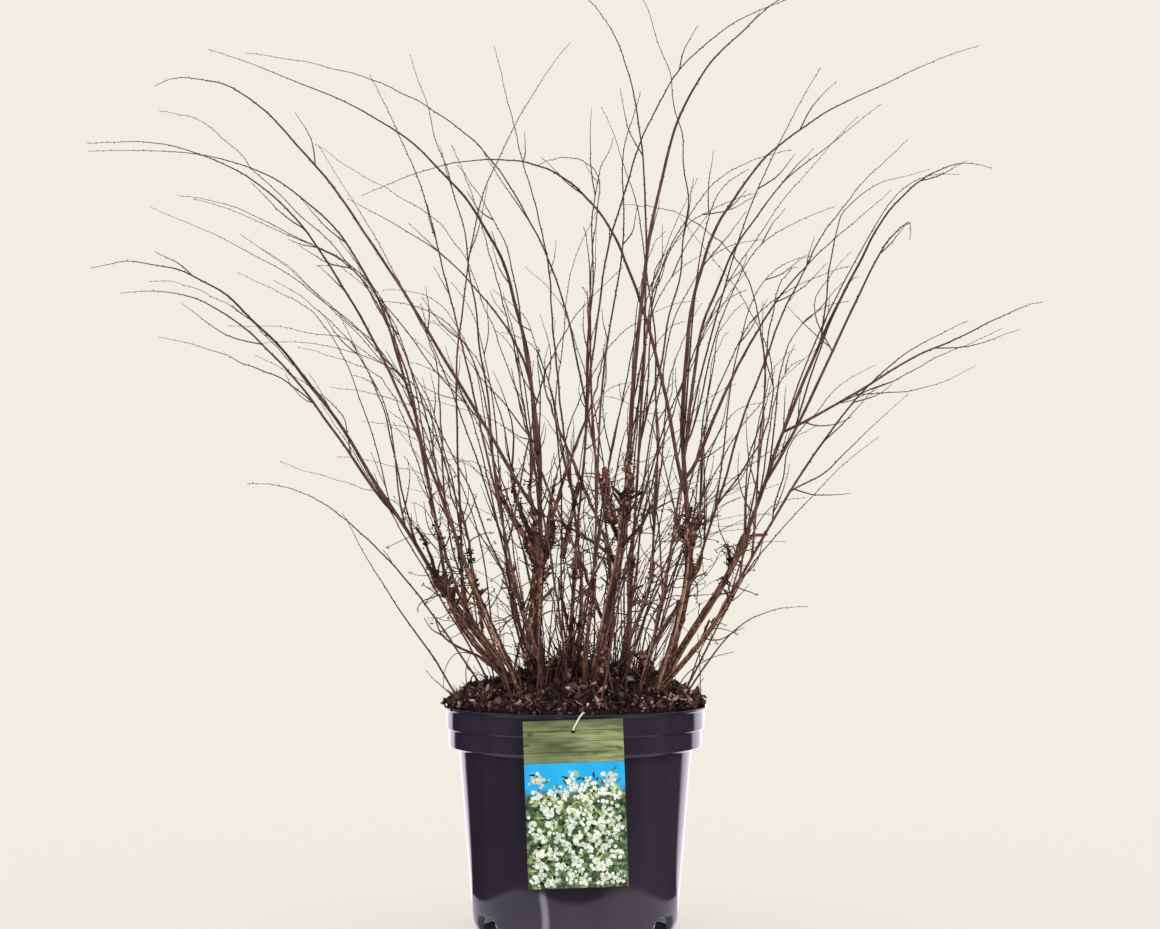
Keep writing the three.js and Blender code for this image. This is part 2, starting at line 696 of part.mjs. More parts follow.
let soil = toSolid(soilGeometry());
for (const mass of masses) soil = soil.subtract(footSocket(mass.limb, caneSides));
for (const { path } of basals) soil = soil.subtract(footSocket(path, shootSides));

const tie = tiePath();
soil = soil.subtract(tieSocket(tie));
addPiece('soil', toGeometry(soil), { color: 0x2f221c, roughness: 0.95, metalness: 0 });
addPiece('label_tie', toGeometry(fuse([tie, togglePath(tie)], [tieSides, tieSides])),
  { color: 0xe6dcc0, roughness: 0.6, metalness: 0 });

for (const mass of masses) {
  const limbSides = [caneSides, ...mass.stubs.map(() => stubSides)];
  addPiece(`cane_${mass.name}`, toGeometry(fuse([mass.limb, ...mass.stubs], limbSides)), woodMaterial);
}
for (const mass of masses) {
  const shoots = [...mass.long, ...mass.twigs];
  const sides = shoots.map((_, i) => (i === 0 ? leaderSides : shootSides));
  addPiece(`twigs_${mass.name}`, toGeometry(fuse(shoots, sides)), shootMaterial);
}
for (const { name, path } of basals) {
  addPiece(`shoot_${name}`, limbGeometry(path, shootSides), shootMaterial);
}

export default part;
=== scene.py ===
"""A bare winter spirea in a nursery pot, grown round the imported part. +Z is up and the front faces -Y."""
import math

import bmesh
import bpy
import numpy as np
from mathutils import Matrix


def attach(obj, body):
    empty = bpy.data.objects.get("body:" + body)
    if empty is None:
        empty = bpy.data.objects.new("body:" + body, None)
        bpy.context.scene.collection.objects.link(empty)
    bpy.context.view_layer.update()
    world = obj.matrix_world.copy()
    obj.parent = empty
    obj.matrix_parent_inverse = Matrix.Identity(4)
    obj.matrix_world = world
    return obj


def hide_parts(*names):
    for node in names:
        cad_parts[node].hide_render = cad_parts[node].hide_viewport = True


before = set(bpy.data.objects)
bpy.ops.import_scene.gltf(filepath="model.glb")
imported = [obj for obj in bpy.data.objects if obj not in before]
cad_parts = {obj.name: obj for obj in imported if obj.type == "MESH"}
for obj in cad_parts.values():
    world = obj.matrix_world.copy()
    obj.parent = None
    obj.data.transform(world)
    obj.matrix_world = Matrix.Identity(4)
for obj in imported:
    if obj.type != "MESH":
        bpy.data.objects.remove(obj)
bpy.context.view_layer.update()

# ---------------------------------------------------------------- driving values, in millimetres
# Everything grows in millimetres, as in the part's source, and a mesh is scaled to metres when it is built.

MM = 0.001

# camera and studio
CAMERA_PLACE = (0.005, -3.5, 0.490)
CAMERA_LENS = 102.6
CREAM = (241, 237, 226)
AMBIENT = (0.91, 0.91, 0.93, 1)
FLOOR_RADIUS = 400.0  # metres, so that its edge lies at the horizon from any side
SHADE_EDGE = (0.1, 0.106)  # metres from the axis: the floor takes its shade in full inside this
SHADE_SHARE = 0.3  # share of its shade that the rest of it takes

# What gloss shows of the studio. An edge is the range over which a light comes on or goes off.
MIRRORED_ROOM = (0.84, 0.82, 0.95, 1)
MIRRORED_FLOOR = (0.84, 0.82, 0.92, 1)
BACKDROP_LEAN = 0.08  # the white backdrop reaches further forwards on the right
BACKDROP_EDGE = (0.66, 0.745)
BACKDROP_LIGHT = 2.45
REAR_FLOOR_LIGHT = 2.2
CEILING_EDGE = (0.5, 0.7)
CEILING_LIGHT = 0.8
LIT_FLOOR_EDGE = (0.262, 0.268)  # metres from the axis
LOBES = 3.6  # waves round the lit floor's edge
LOBE_REACH = 0.027
STREAK_START = 0.205  # the streak's turn at the axis, in radians, and then in each metre away from it
STREAK_CURL = 1.1
STREAK_EDGE = (0.015, 0.075)
STREAK_LIGHT = 7.0

# pot
POT_HEIGHT = 235.0
LIP_RADIUS = 139.7
UPPER_BAND_RADIUS = 136.4
LOWER_BAND_RADIUS = 133.6
BAND_STEP = 212.0
WALL_TOP_RADIUS = 122.9
WALL_TOP = 190.5
FOOT_RADIUS = 108.6
FOOT_ROUNDING = 17.0  # height over which the wall curves in to its foot
WALL = 1.9
ROUNDING_STEPS = 4
CHANNEL_INNER = 84.0
CHANNEL_HEIGHT = 20.0
NOTCH_HEIGHT = 18.0
NOTCH_TOP_HALF = math.radians(7.5)
NOTCH_BOTTOM_HALF = math.radians(11.5)
NOTCH_BEARINGS = (55, 125, 210, 330)

# soil
SOIL_EDGE = 240.0
SOIL_CROWN = 274.0
SOIL_LUMP = 3.2
SOIL_RADIUS = 133.1
SOIL_FLOOR = 200.0
LITTER_RADIUS = 137.0  # no stick reaches further from the axis
FOOT_DEPTH = 10.0

# label and tie
LABEL_WIDTH = 102.0
LABEL_HEIGHT = 171.0
LABEL_TURN = math.radians(2)
LABEL_HOLE = (-2.0, 219.0)
LABEL_HOLE_RADIUS = 2.5
LABEL_TOP = 11.5  # the card's top edge above its hole
LABEL_BACK = -139.0
LABEL_THICKNESS = 0.6
HEADER_SHARE = 0.255  # share of the card's height that the plank header takes
FIELD_SHARE = 0.58  # share of it that the green field takes
PLANKS = 4
PRINT_MARGIN = 4.0
HEAD_STEP = (17.0, 14.2)  # between the heads of blossom, across and up
TIE_RADIUS = 0.9
TOGGLE_HALF = 4.5

# seeds of the random draws: the first two are also the part's
MASS_SEED = 1000
BASAL_SEED = 2000
WHIP_SEED = 3000
FINE_SEED = 4000
FINE_BASAL_SEED = 5000
GROUND_WHIP_SEED = 6000
OLD_WOOD_SEED = 7000
ARCHED_SEED = 7100
SOIL_SEED = 11
PRINT_SEED = 23

# limbs and shoots, as in the part's source
GAP = 0.3
CANE_STEPS = 4
CANE_FOOT_RADIUS = 4.6
CANE_FORK_RADIUS = 3.2
CANE_FLARE = 1.4
CANE_BOW = 0.13
LEADER_RADIUS = 2.5
SHOOT_STEPS = 8
SHOOT_RADIUS = 1.9
SEEDED_STEPS = 5
SEEDED_RADIUS = 1.1
BASAL_RADIUS = 1.3
TIP_RADIUS = 0.5
TWIG_RADIUS = 0.9
ARCH_PULL = 0.8
SHOOT_SWAY = 0.012
TAPER_POWER = 1.15
TWIG_ROOT = (0.35, 0.75)
TWIG_LENGTH = (50, 120)
TWIG_SPREAD = (0.4, 0.65)
CLEARANCE = 0.6
CROWN_RADIUS = 530.0
CROWN_HEIGHT = 1030.0
CROWN_FLOOR = 250.0
SEEDED_TRIES = 3
SEEDED_ROOT = (0.01, 0.11)
SEEDED_SPREAD = 1.0
SEEDED_RISE = (110, 340)
SEEDED_LEAN = (0.25, 0.8)

# finer growth
FINE_TIP = 0.26
WHIP_TIP = 0.22
SHOOT_TAPER = 1.12
WHIP_TAPER = 1.25
COMPANION_TAPER = 1.1
RING_STEP = 11.0
KNOTS = 11  # on a cane
KINKS = ((42, 0.35), (95, 0.9), (210, 1.8))  # lengths and heights of the bends in a shoot
WHIP_KINKS = 1.8  # times as high
GROUND_WHIP_KINKS = 2.2
ELBOW = (4, 12)  # how far a shoot first swings out of its line
SHOOT_SIDES = 6
TWIG_RINGS = 7
TWIG_GAPS = ((300, 430, 560, 700), (75, 130, 600, 1800))  # heights, and the gaps between side twigs there
BUD_STEP = 7.5
TWO_FIFTHS = 2.513  # of a turn

# How each kind of shoot is drawn: how far up it is brown, where its buds start and their size, and how
# crowded its side twigs are and how far up they go
LONG_SHOOT = (1.0, (0.08, 1.0), (0.6, 0.6))
BASAL_SHOOT = (0.7, (0.08, 1.0), (0.65, 0.65))
ARCHED_SHOOT = (0.4, (0.06, 0.9), (0.4, 0.7))
WHIP = (0.4, (0.06, 0.9), (0.35, 0.7))
GROUND_WHIP = (0.5, (0.1, 0.9), (0.35, 0.8))

# Thin whips of the canes and of the old heads: the shares of the host's length that they root on, how far
# they turn from its bearing, how much higher than their roots they end, and how far sideways
CANE_WHIPS = ((0.3, 0.98), 1.5, (70, 220), (0.3, 0.9))
HEAD_WHIPS = ((0.75, 1.0), 0.9, (90, 250), (0.35, 1.2))
# How many whips arch beside each long shoot of these canes, and how far they swing away from the middle
COMPANIONS = {
    "left_low": (2, (-90, -20)), "left_mid": (1, (0, 70)), "left_front": (1, (20, 80)),
    "centre_left": (1, (-60, 60)), "right_side": (2, (-60, -10)), "right_low": (2, (-80, 0)),
}
# Thin whips that rise between the canes: how far from the axis, and then how many, how far they may turn
# from their feet's bearing, how high they rise, how far sideways, and their radii
GROUND_RING = (42, 104)
GROUND_WHIPS = (
    (14, (0.6, 2.8), (120, 300), (0.55, 1.15), (0.6, 1.25)),
    (44, (1.0, 3.1), (80, 250), (0.35, 1.1), (0.5, 0.95)),
)

# Each cane: name, foot, fork, girth, how many shoots the seeded rule adds, and its shoots as (share of the
# stem, bend, tip). The first shoot runs on from the fork as the mass's stem.
CANES = [
    ("left_low", (-74, -32), (-145, -45, 370), 0.95, 2, [
        (0, (-345, -50, 650), (-505, -60, 695)), (0.08, (-350, 0, 635), (-490, 60, 675))]),
    ("left_mid", (-66, 8), (-138, 20, 362), 0.8, 2, [
        (0, (-260, 50, 745), (-530, 90, 830)), (0.1, (-235, 100, 690), (-445, 190, 790))]),
    ("left_back", (-58, 48), (-122, 95, 355), 0.6, 2, [(0, (-115, 115, 725), (-5, 140, 955))]),
    ("left_front", (-55, -62), (-108, -95, 376), 0.75, 2, [(0, (-285, -120, 740), (-495, -150, 815))]),
    ("centre_left", (-34, -38), (-36, -50, 395), 1.15, 3, [
        (0, (-105, -40, 755), (-385, -30, 925)), (0.04, (-295, -10, 830), (-450, 40, 895)),
        (0.09, (-75, -105, 640), (-230, -170, 760))]),
    ("centre", (-4, 6), (0, 15, 388), 0.6, 2, [(0, (80, -20, 855), (300, -60, 990))]),
    ("centre_front", (24, -56), (52, -85, 450), 1.15, 3, [(0, (105, -115, 835), (250, -150, 980))]),
    ("centre_back", (26, 36), (35, 55, 403), 0.6, 2, [(0, (-80, 80, 805), (-360, 110, 940))]),
    ("centre_right", (50, 0), (60, 20, 388), 0.7, 2, [
        (0, (70, 40, 840), (-10, 60, 1010)), (0.1, (120, 90, 800), (60, 170, 1030))]),
    ("right_main", (84, -38), (118, -60, 420), 1.2, 2, [
        (0, (160, -40, 760), (425, -20, 930)), (0.04, (5, -115, 770), (-215, -186, 760)),
        (0.09, (160, -105, 705), (310, -160, 855)), (0.06, (200, -5, 645), (340, 60, 785))]),
    ("right_side", (95, 10), (181, 35, 411), 0.9, 2, [
        (0, (330, 55, 750), (450, 80, 810)), (0.06, (325, 5, 715), (350, -40, 725)),
        (0.12, (405, 50, 625), (505, 60, 665))]),
    ("right_low", (78, -66), (157, -115, 351), 0.7, 2, [(0, (280, -145, 550), (395, -180, 635))]),
    ("right_back", (68, 56), (135, 85, 387), 0.65, 2, [
        (0, (250, 160, 700), (380, 265, 860)), (0.07, (215, 90, 585), (115, 120, 760))]),
    ("back_left", (-30, 78), (-75, 145, 380), 0.55, 2, [(0, (-125, 240, 730), (-195, 380, 970))]),
    ("back", (10, 88), (5, 165, 385), 0.55, 2, [(0, (-40, 250, 740), (-95, 330, 975))]),
    ("back_right", (46, 84), (85, 150, 380), 0.55, 2, [(0, (85, 290, 700), (30, 430, 915))]),
    ("front_left", (-42, -72), (-62, -150, 375), 0.5, 2, [(0, (-130, -270, 690), (-190, -440, 850))]),
    ("front", (14, -80), (18, -160, 370), 0.5, 2, [(0, (40, -290, 700), (60, -470, 830))]),
    ("front_right", (62, -76), (92, -152, 375), 0.5, 2, [(0, (150, -270, 680), (230, -420, 860))]),
]

# Thin shoots that rise straight from the soil: name, foot, bend, tip
BASAL_SHOOTS = [
    ("low_left", (-86, -60), (-225, -100, 425), (-335, -120, 470)),
    ("edge_left", (-116, -30), (-190, -50, 350), (-245, -60, 440)),
    ("low_back_left", (-84, 66), (-200, 160, 430), (-290, 240, 560)),
    ("low_right", (110, -12), (175, -10, 320), (245, -20, 340)),
    ("edge_right", (112, 34), (205, 60, 400), (330, 90, 520)),
    ("low_back", (64, 100), (120, 210, 420), (160, 330, 560)),
    ("low_front", (24, -112), (60, -210, 420), (80, -330, 540)),
    ("low_front_left", (-62, -92), (-115, -190, 400), (-165, -300, 500)),
    ("fan_left", (-46, -18), (-140, -74, 520), (-330, -234, 720)),
    ("tall_left", (-36, 14), (-150, 110, 600), (-290, 230, 850)),
    ("tall_right", (24, -20), (130, -10, 620), (300, 10, 860)),
    ("tall_front", (-6, -62), (-60, -150, 600), (-120, -300, 800)),
    ("tall_back", (0, 54), (60, 170, 600), (140, 320, 820)),
    ("inner_left", (-30, 44), (-90, 110, 500), (-190, 190, 640)),
    ("inner_right", (70, 26), (150, 100, 480), (270, 170, 620)),
    ("inner_front", (52, -44), (90, -130, 520), (170, -240, 680)),
    ("inner_middle", (-4, -30), (-20, -20, 560), (20, 20, 760)),
]

# Dead twigs low down at both sides: their points, and their radii at the root and at the end
BENT_TWIGS = (
    (((-66, -36, 258), (-96, -39, 286), (-124, -42, 300), (-140, -44, 313), (-148, -46, 334)), 2.1, 0.6),
    (((-140, -44, 312), (-150, -46, 318), (-158, -47, 330)), 0.9, 0.4),
    (((-88, -40, 278), (-106, -42, 291), (-125, -43, 292), (-136, -44, 276), (-138, -44, 256)), 0.7, 0.35),
    (((-112, -50, 250), (-114, -52, 276), (-108, -54, 296)), 0.7, 0.35),
    (((132, -20, 246), (131, -21, 280), (129, -22, 312)), 0.6, 0.35),
    (((104, -60, 252), (116, -64, 272), (138, -70, 288), (164, -76, 296)), 0.8, 0.35),
)

# Old wood: stumps at the canes' feet, pruned limbs at their heads, and crossing shoots. Each row has its
# group, its points, its radii at the root and at the end, and how many dark tufts and live whips it carries.
OLD_WOOD = (
    ("centre", ((22, -64, 258), (26, -66, 278), (31, -66, 302)), 8.5, 4.5, 5, 0),
    ("centre", ((13, -62, 258), (11, -63, 276), (6, -66, 290)), 5.5, 3.0, 5, 0),
    ("centre", ((-40, -52, 258), (-46, -55, 278), (-54, -58, 296)), 5.0, 2.6, 5, 0),
    ("centre", ((-30, -50, 258), (-27, -54, 276), (-22, -58, 290)), 4.5, 2.4, 5, 0),
    ("right", ((80, -50, 256), (74, -55, 280), (68, -58, 296)), 6.5, 3.2, 6, 0),
    ("centre", ((-5, -40, 262), (-8, -42, 296), (-3, -42, 330)), 2.2, 1.4, 8, 0),
    ("centre", ((8, -36, 262), (-2, -38, 300), (-14, -40, 350), (-18, -41, 372)), 1.7, 1.2, 3, 0),
    ("centre", ((-37, -51, 388), (-58, -52, 424), (-75, -54, 453), (-82, -56, 478)), 3.6, 1.7, 5, 1),
    ("centre", ((-37, -49, 392), (-53, -46, 432), (-64, -44, 463), (-66, -42, 488)), 3.2, 1.5, 5, 1),
    ("centre", ((-38, -52, 394), (-43, -58, 432), (-47, -62, 463), (-44, -64, 492)), 2.9, 1.4, 5, 1),
    ("centre", ((-35, -48, 394), (-28, -44, 427), (-25, -42, 455), (-19, -40, 480)), 2.7, 1.3, 4, 1),
    ("centre", ((42, -82, 428), (34, -80, 448), (31, -80, 470), (32, -80, 486)), 4.6, 3.4, 5, 1),
    ("centre", ((51, -86, 446), (56, -92, 470), (54, -95, 490), (58, -96, 506)), 4.8, 2.8, 7, 1),
    ("centre", ((46, -84, 436), (50, -90, 452), (60, -94, 468)), 3.2, 2.0, 6, 1),
    ("centre", ((-43, -44, 258), (-44, -48, 318), (-43, -50, 356), (-39, -51, 392)), 4.6, 4.0, 4, 0),
    ("centre", ((44, -76, 392), (16, -62, 410), (-12, -56, 428), (-38, -52, 438)), 1.6, 0.9, 3, 0),
    ("centre", ((-14, -44, 392), (-5, -48, 430), (4, -50, 472)), 2.8, 2.2, 4, 1),
    ("centre", ((-32, -48, 392), (-20, -46, 448), (-2, -44, 502), (18, -43, 556), (32, -44, 612)),
     2.4, 0.6, 0, 0),
    ("centre", ((40, -72, 390), (20, -64, 440), (-4, -56, 498), (-26, -52, 552), (-40, -50, 604)),
     2.1, 0.6, 0, 0),
    ("centre", ((28, -62, 330), (2, -58, 398), (-30, -60, 470), (-52, -64, 530), (-66, -70, 590)),
     1.9, 0.5, 1, 0),
    ("left", ((-108, -66, 322), (-126, -68, 372), (-142, -68, 420), (-152, -68, 452)), 2.0, 1.1, 8, 1),
    ("left", ((-96, -72, 320), (-106, -76, 380), (-114, -78, 432)), 1.8, 1.0, 7, 2),
    ("left", ((-116, -66, 344), (-119, -66, 390), (-128, -68, 434)), 1.7, 1.0, 7, 1),
    ("right", ((117, -61, 414), (127, -68, 428), (130, -70, 442)), 4.2, 2.8, 2, 3),
    ("right", ((116, -58, 408), (108, -57, 424), (104, -58, 436)), 3.8, 2.4, 3, 1),
)

# Slender live shoots that arch back over the crown's middle: group, points and root radius
ARCHED_SHOOTS = (
    ("right", ((181, 35, 406), (196, 30, 490), (202, 24, 560), (201, 20, 600), (195, 14, 645), (186, 8, 680),
               (171, 0, 706), (148, -8, 730), (118, -16, 750), (84, -22, 761), (46, -28, 763)), 1.15),
    ("centre", ((0, 15, 392), (9, 10, 500), (14, 4, 620), (18, 0, 710), (23, -4, 755), (26, -8, 785),
                (18, -11, 803), (0, -14, 813), (-22, -17, 812), (-42, -20, 804)), 0.95),
)

# Clumps of dead sticks and litter between the canes: x, y, reach and height
CLUMPS = (
    (-6, -40, 11, 56), (-42, -56, 13, 26), (72, -56, 12, 28),
    (26, -50, 13, 26), (-14, 12, 18, 12), (44, 10, 18, 12),
)


# Looks and their two tones, dealt out by number
CUT = 3
BARKS = (
    # On the canes the darkest bark is painted shade in the grooves, and the tan bark carries a painted
    # highlight on the ridges; on stubs and old wood both are plain bark tones.
    ("bark_shade", (44, 25, 20), (78, 49, 42)),
    ("bark_red", (88, 57, 47), (132, 91, 80)),
    ("bark_tan", (134, 100, 86), (182, 144, 126)),
    ("cut_wood", (150, 122, 98), (196, 168, 138)),
)
SHOOT_BARKS = (
    ("shoot_brown", (68, 43, 40), (112, 76, 71)),
    ("shoot_plum", (64, 42, 44), (100, 68, 70)),
    ("shoot_dark", (54, 37, 40), (84, 60, 62)),
)
BUD_SCALES = (
    ("bud_plum", (52, 32, 32), (80, 48, 44)),
    ("bud_dark", (40, 26, 26), (62, 40, 36)),
    ("bud_dead", (30, 20, 18), (52, 34, 28)),
)
SOIL_CRUMBS = (
    ("soil_dark", (26, 17, 17), (52, 36, 35)),
    ("soil_brown", (50, 36, 35), (94, 70, 66)),
    ("soil_rust", (92, 64, 56), (134, 100, 90)),
    ("soil_chip", (146, 118, 110), (200, 172, 162)),
    ("soil_fibre", (66, 47, 39), (114, 84, 68)),
)
PRINTS = (
    ("print_white", (220, 230, 224), (242, 246, 242)),
    ("print_shade", (166, 184, 184), (206, 218, 214)),
    ("print_deep_green", (36, 60, 44), (58, 84, 52)),
    ("print_green", (84, 116, 60), (110, 140, 74)),
    ("print_lime", (160, 178, 84), (190, 200, 110)),
    ("print_centre", (206, 206, 120), (224, 220, 150)),
)


# ---------------------------------------------------------------- small helpers

def seeded(seed):
    """Mulberry32, as in the part's source: the same seed always grows the same shrub."""
    state = seed & 0xFFFFFFFF

    def draw(low, high):
        nonlocal state
        state = (state + 0x6D2B79F5) & 0xFFFFFFFF
        t = state
        t = ((t ^ (t >> 15)) * (t | 1)) & 0xFFFFFFFF
        t ^= (t + (((t ^ (t >> 7)) * (t | 61)) & 0xFFFFFFFF)) & 0xFFFFFFFF
        return low + (high - low) * (((t ^ (t >> 14)) & 0xFFFFFFFF) / 4294967296)

    return draw


def vec(*values):
    """A point or a direction."""
    return np.array(values, float)


def unit(vectors):
    return vectors / np.linalg.norm(vectors, axis=-1, keepdims=True)


def dot(a, b):
    """Dot products over the last dimension, which is kept."""
    return (a * b).sum(-1, keepdims=True)


def linear(red, green, blue):
    """A colour given as 0 to 255 display values, as the linear values that shaders take."""
    shares = [value / 255 for value in (red, green, blue)]
    return [s / 12.92 if s <= 0.04045 else ((s + 0.055) / 1.055) ** 2.4 for s in shares] + [1.0]


def bearings(count):
    """Directions evenly round the axis."""
    return 2 * np.pi * np.arange(count) / count


def around(radius, bearing):
    """The x and y, in a last dimension, of places at a distance from the axis."""
    return np.stack([radius * np.cos(bearing), radius * np.sin(bearing)], -1)


def soil_height(places):
    """The height of the lumpy heap at places whose last dimension starts with x and y."""
    x, y = places[..., 0], places[..., 1]
    share = np.minimum(np.hypot(x, y) / (UPPER_BAND_RADIUS - 3), 1)
    heap = SOIL_EDGE + (SOIL_CROWN - SOIL_EDGE) * (1 - share**1.5)
    lumps = np.sin(x / 17 + 1.3) * np.sin(y / 14 + 0.4) + 0.6 * np.sin((x + y) / 9)
    return heap + SOIL_LUMP * lumps * (1 - share**6)


def on_soil(places):
    """The same places, given as x and y, with the heap's height there."""
    return np.concatenate([places, soil_height(places)[..., None]], -1)


def link(thing):
    """Puts an object in the scene."""
    bpy.context.scene.collection.objects.link(thing)
    return thing


# ---------------------------------------------------------------- meshes

NO_QUADS = np.zeros((0, 4), int)


class Batch:
    """Gathers pieces of mesh, in millimetres, that become one object."""

    def __init__(self):
        self.parts = []
        self.count = 0

    def add(self, points, quads, triangles, quad_tint=0, triangle_tint=0):
        """Adds a mesh, or copies of it when points is (copies, corners, 3). The faces are those of one."""
        copies = points if points.ndim == 3 else points[None]
        count, corners = copies.shape[:2]
        step = self.count + corners * np.arange(count)[:, None, None]
        quads, triangles = (quads + step).reshape(-1, 4), (triangles + step).reshape(-1, 3)
        tints = np.broadcast_to(quad_tint, len(quads)), np.broadcast_to(triangle_tint, len(triangles))
        self.parts.append((copies.reshape(-1, 3), quads, triangles, *tints))
        self.count += count * corners

    def build(self, name, looks, slot, replaced, smooth=True):
        """Builds the object, and hides the nodes that it is drawn for. slot is not used."""
        points, quads, triangles, *tints = (np.concatenate(column) for column in zip(*self.parts))
        corners = np.concatenate([quads.ravel(), triangles.ravel()])
        starts = np.concatenate([np.arange(len(quads)) * 4, quads.size + np.arange(len(triangles)) * 3])
        mesh = bpy.data.meshes.new(name)
        mesh.vertices.add(len(points))
        mesh.vertices.foreach_set("co", (points * MM).astype(np.float32).ravel())
        mesh.loops.add(len(corners))
        mesh.loops.foreach_set("vertex_index", corners.astype(np.int32))
        mesh.polygons.add(len(starts))
        mesh.polygons.foreach_set("loop_start", starts.astype(np.int32))
        mesh.polygons.foreach_set("material_index", np.concatenate(tints).astype(np.int32))
        mesh.polygons.foreach_set("use_smooth", np.full(len(starts), smooth))
        mesh.update(calc_edges=True)
        mesh.validate()
        for look in looks:
            mesh.materials.append(look)
        piece = link(bpy.data.objects.new(name, mesh))
        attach(piece, "root")
        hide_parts(*replaced)


def tube_faces(rings, sides):
    """Faces of a tube whose corners run ring by ring, then its first and its last middle point."""
    ring, side = np.meshgrid(np.arange(rings - 1), np.arange(sides), indexing="ij")
    here = ring * sides + side
    beside = ring * sides + (side + 1) % sides
    quads = np.stack([here, beside, beside + sides, here + sides], -1).reshape(-1, 4)
    corner = np.arange(sides)
    after = (corner + 1) % sides
    middle = np.full(sides, rings * sides)
    last = (rings - 1) * sides
    start = np.stack([middle, after, corner], -1)
    end = np.stack([middle + 1, corner + last, after + last], -1)
    return quads, np.concatenate([start, end])


def add_tubes(batch, lines, radii, sides, tint=0, end_tint=None, relief=None):
    """Adds closed tubes. lines is (tubes, rings, 3) and radii (tubes, rings). relief scales each corner's
    radius. tint is one number, one per tube, or one per ring and side."""
    tubes, rings = radii.shape
    tangents = unit(np.gradient(lines, axis=1))
    spare = np.eye(3)[np.abs(tangents).max(axis=1).argmin(axis=-1)][:, None]
    normals = unit(spare - dot(spare, tangents) * tangents)
    binormals = np.cross(tangents, normals)
    angles = bearings(sides)
    spokes = normals[:, :, None] * np.cos(angles)[:, None] + binormals[:, :, None] * np.sin(angles)[:, None]
    reach = radii[:, :, None] * (1 if relief is None else relief)
    corners = lines[:, :, None] + spokes * np.broadcast_to(reach, spokes.shape[:3])[..., None]
    points = np.concatenate([corners.reshape(tubes, -1, 3), lines[:, :1], lines[:, -1:]], axis=1)
    quads, triangles = tube_faces(rings, sides)
    tint = np.asarray(tint)
    if tint.ndim == 1:
        quad_tint = np.repeat(tint, len(quads))
        triangle_tint = np.repeat(tint, len(triangles))
    else:
        quad_tint = tint if tint.ndim == 0 else tint[:-1].ravel()
        triangle_tint = tint if tint.ndim == 0 else 0
    if end_tint is not None:
        triangle_tint = end_tint
    batch.add(points, quads, triangles, quad_tint, triangle_tint)


def add_tube(batch, line, radii, *rest, **more):
    """Adds one such tube."""
    add_tubes(batch, line[None], radii[None], *rest, **more)


def add_lathe(batch, profile, segments, shape):
    """A round closed body about +Z. The profile runs from the axis under it to the axis on top."""
    profile = np.asarray(profile, float)
    inner = profile[1:-1]
    level = around(inner[:, :1], bearings(segments))
    heights = np.broadcast_to(inner[:, 1:], level.shape[:2])
    rings = np.concatenate([level, heights[..., None]], -1).reshape(-1, 3)
    points = np.concatenate([rings, [[0, 0, profile[0, 1]], [0, 0, profile[-1, 1]]]])
    batch.add(shape(points), *tube_faces(len(inner), segments))


def rounded(profile):
    """A profile of [radius, height, rounding] corners with each corner that has a rounding bent over it."""
    line = []
    for number, (radius, height, rounding) in enumerate(profile):
        here = vec(radius, height)
        if not rounding:
            line.append(here)
            continue
        before = vec(*profile[number - 1][:2]) - here
        after = vec(*profile[number + 1][:2]) - here
        start = here + before * min(rounding / np.hypot(*before), 0.45)
        end = here + after * min(rounding / np.hypot(*after), 0.45)
        for share in np.linspace(0, 1, ROUNDING_STEPS + 1):
            line.append((1 - share) ** 2 * start + 2 * share * (1 - share) * here + share**2 * end)
    return np.array(line)


def rotations(axis, angles):
    """Rotation matrices about one axis."""
    first, second = (axis + 1) % 3, (axis + 2) % 3
    matrices = np.tile(np.eye(3), (len(angles), 1, 1))
    matrices[:, first, first] = matrices[:, second, second] = np.cos(angles)
    matrices[:, second, first] = np.sin(angles)
    matrices[:, first, second] = -np.sin(angles)
    return matrices


def add_crumbs(batch, rng, places, sizes, tilt, tints):
    """Adds twenty-sided lumps with broken corners, turned any way round and tilted by up to so many radians.
    sizes is (count, 3), each lump's half lengths."""
    lump = bmesh.new()
    bmesh.ops.create_icosphere(lump, subdivisions=1, radius=1)
    corners = np.array([vertex.co for vertex in lump.verts])
    faces = np.array([[vertex.index for vertex in face.verts] for face in lump.faces])
    lump.free()
    count = len(places)
    shapes = corners * rng.uniform(0.5, 1.35, (count, len(corners), 1)) * sizes[:, None]
    bearing = rng.uniform(0, 2 * np.pi, count)
    lean, roll = rng.uniform(-tilt, tilt, (2, count))
    turns = rotations(2, bearing) @ rotations(1, lean) @ rotations(0, roll)
    points = np.einsum("nij,nkj->nki", turns, shapes) + places[:, None]
    batch.add(points, NO_QUADS, faces, 0, np.repeat(tints, len(faces)))


def add_buds(batch, places, directions, lengths, widths, tint=0):
    """Adds pointed buds, each of eight faces round two ends and four corners between them."""
    if not len(places):
        return
    spare = np.where(np.abs(directions[:, 2:]) < 0.9, vec(0, 0, 1), vec(1, 0, 0))
    across = unit(np.cross(directions, spare))
    along = np.cross(directions, across)
    middle = places + directions * (0.36 * lengths)[:, None]
    half = (0.5 * widths)[:, None]
    spokes = [side * half for side in (across, along, -across, -along)]
    corners = [places, *(middle + spoke for spoke in spokes), places + directions * lengths[:, None]]
    corner = np.arange(1, 5)
    after = np.roll(corner, -1)
    foot, tip = np.full(4, 0), np.full(4, 5)
    faces = np.concatenate([np.stack([foot, after, corner], -1), np.stack([tip, corner, after], -1)])
    batch.add(np.stack(corners, axis=1), NO_QUADS, faces, 0, tint)


# ---------------------------------------------------------------- materials

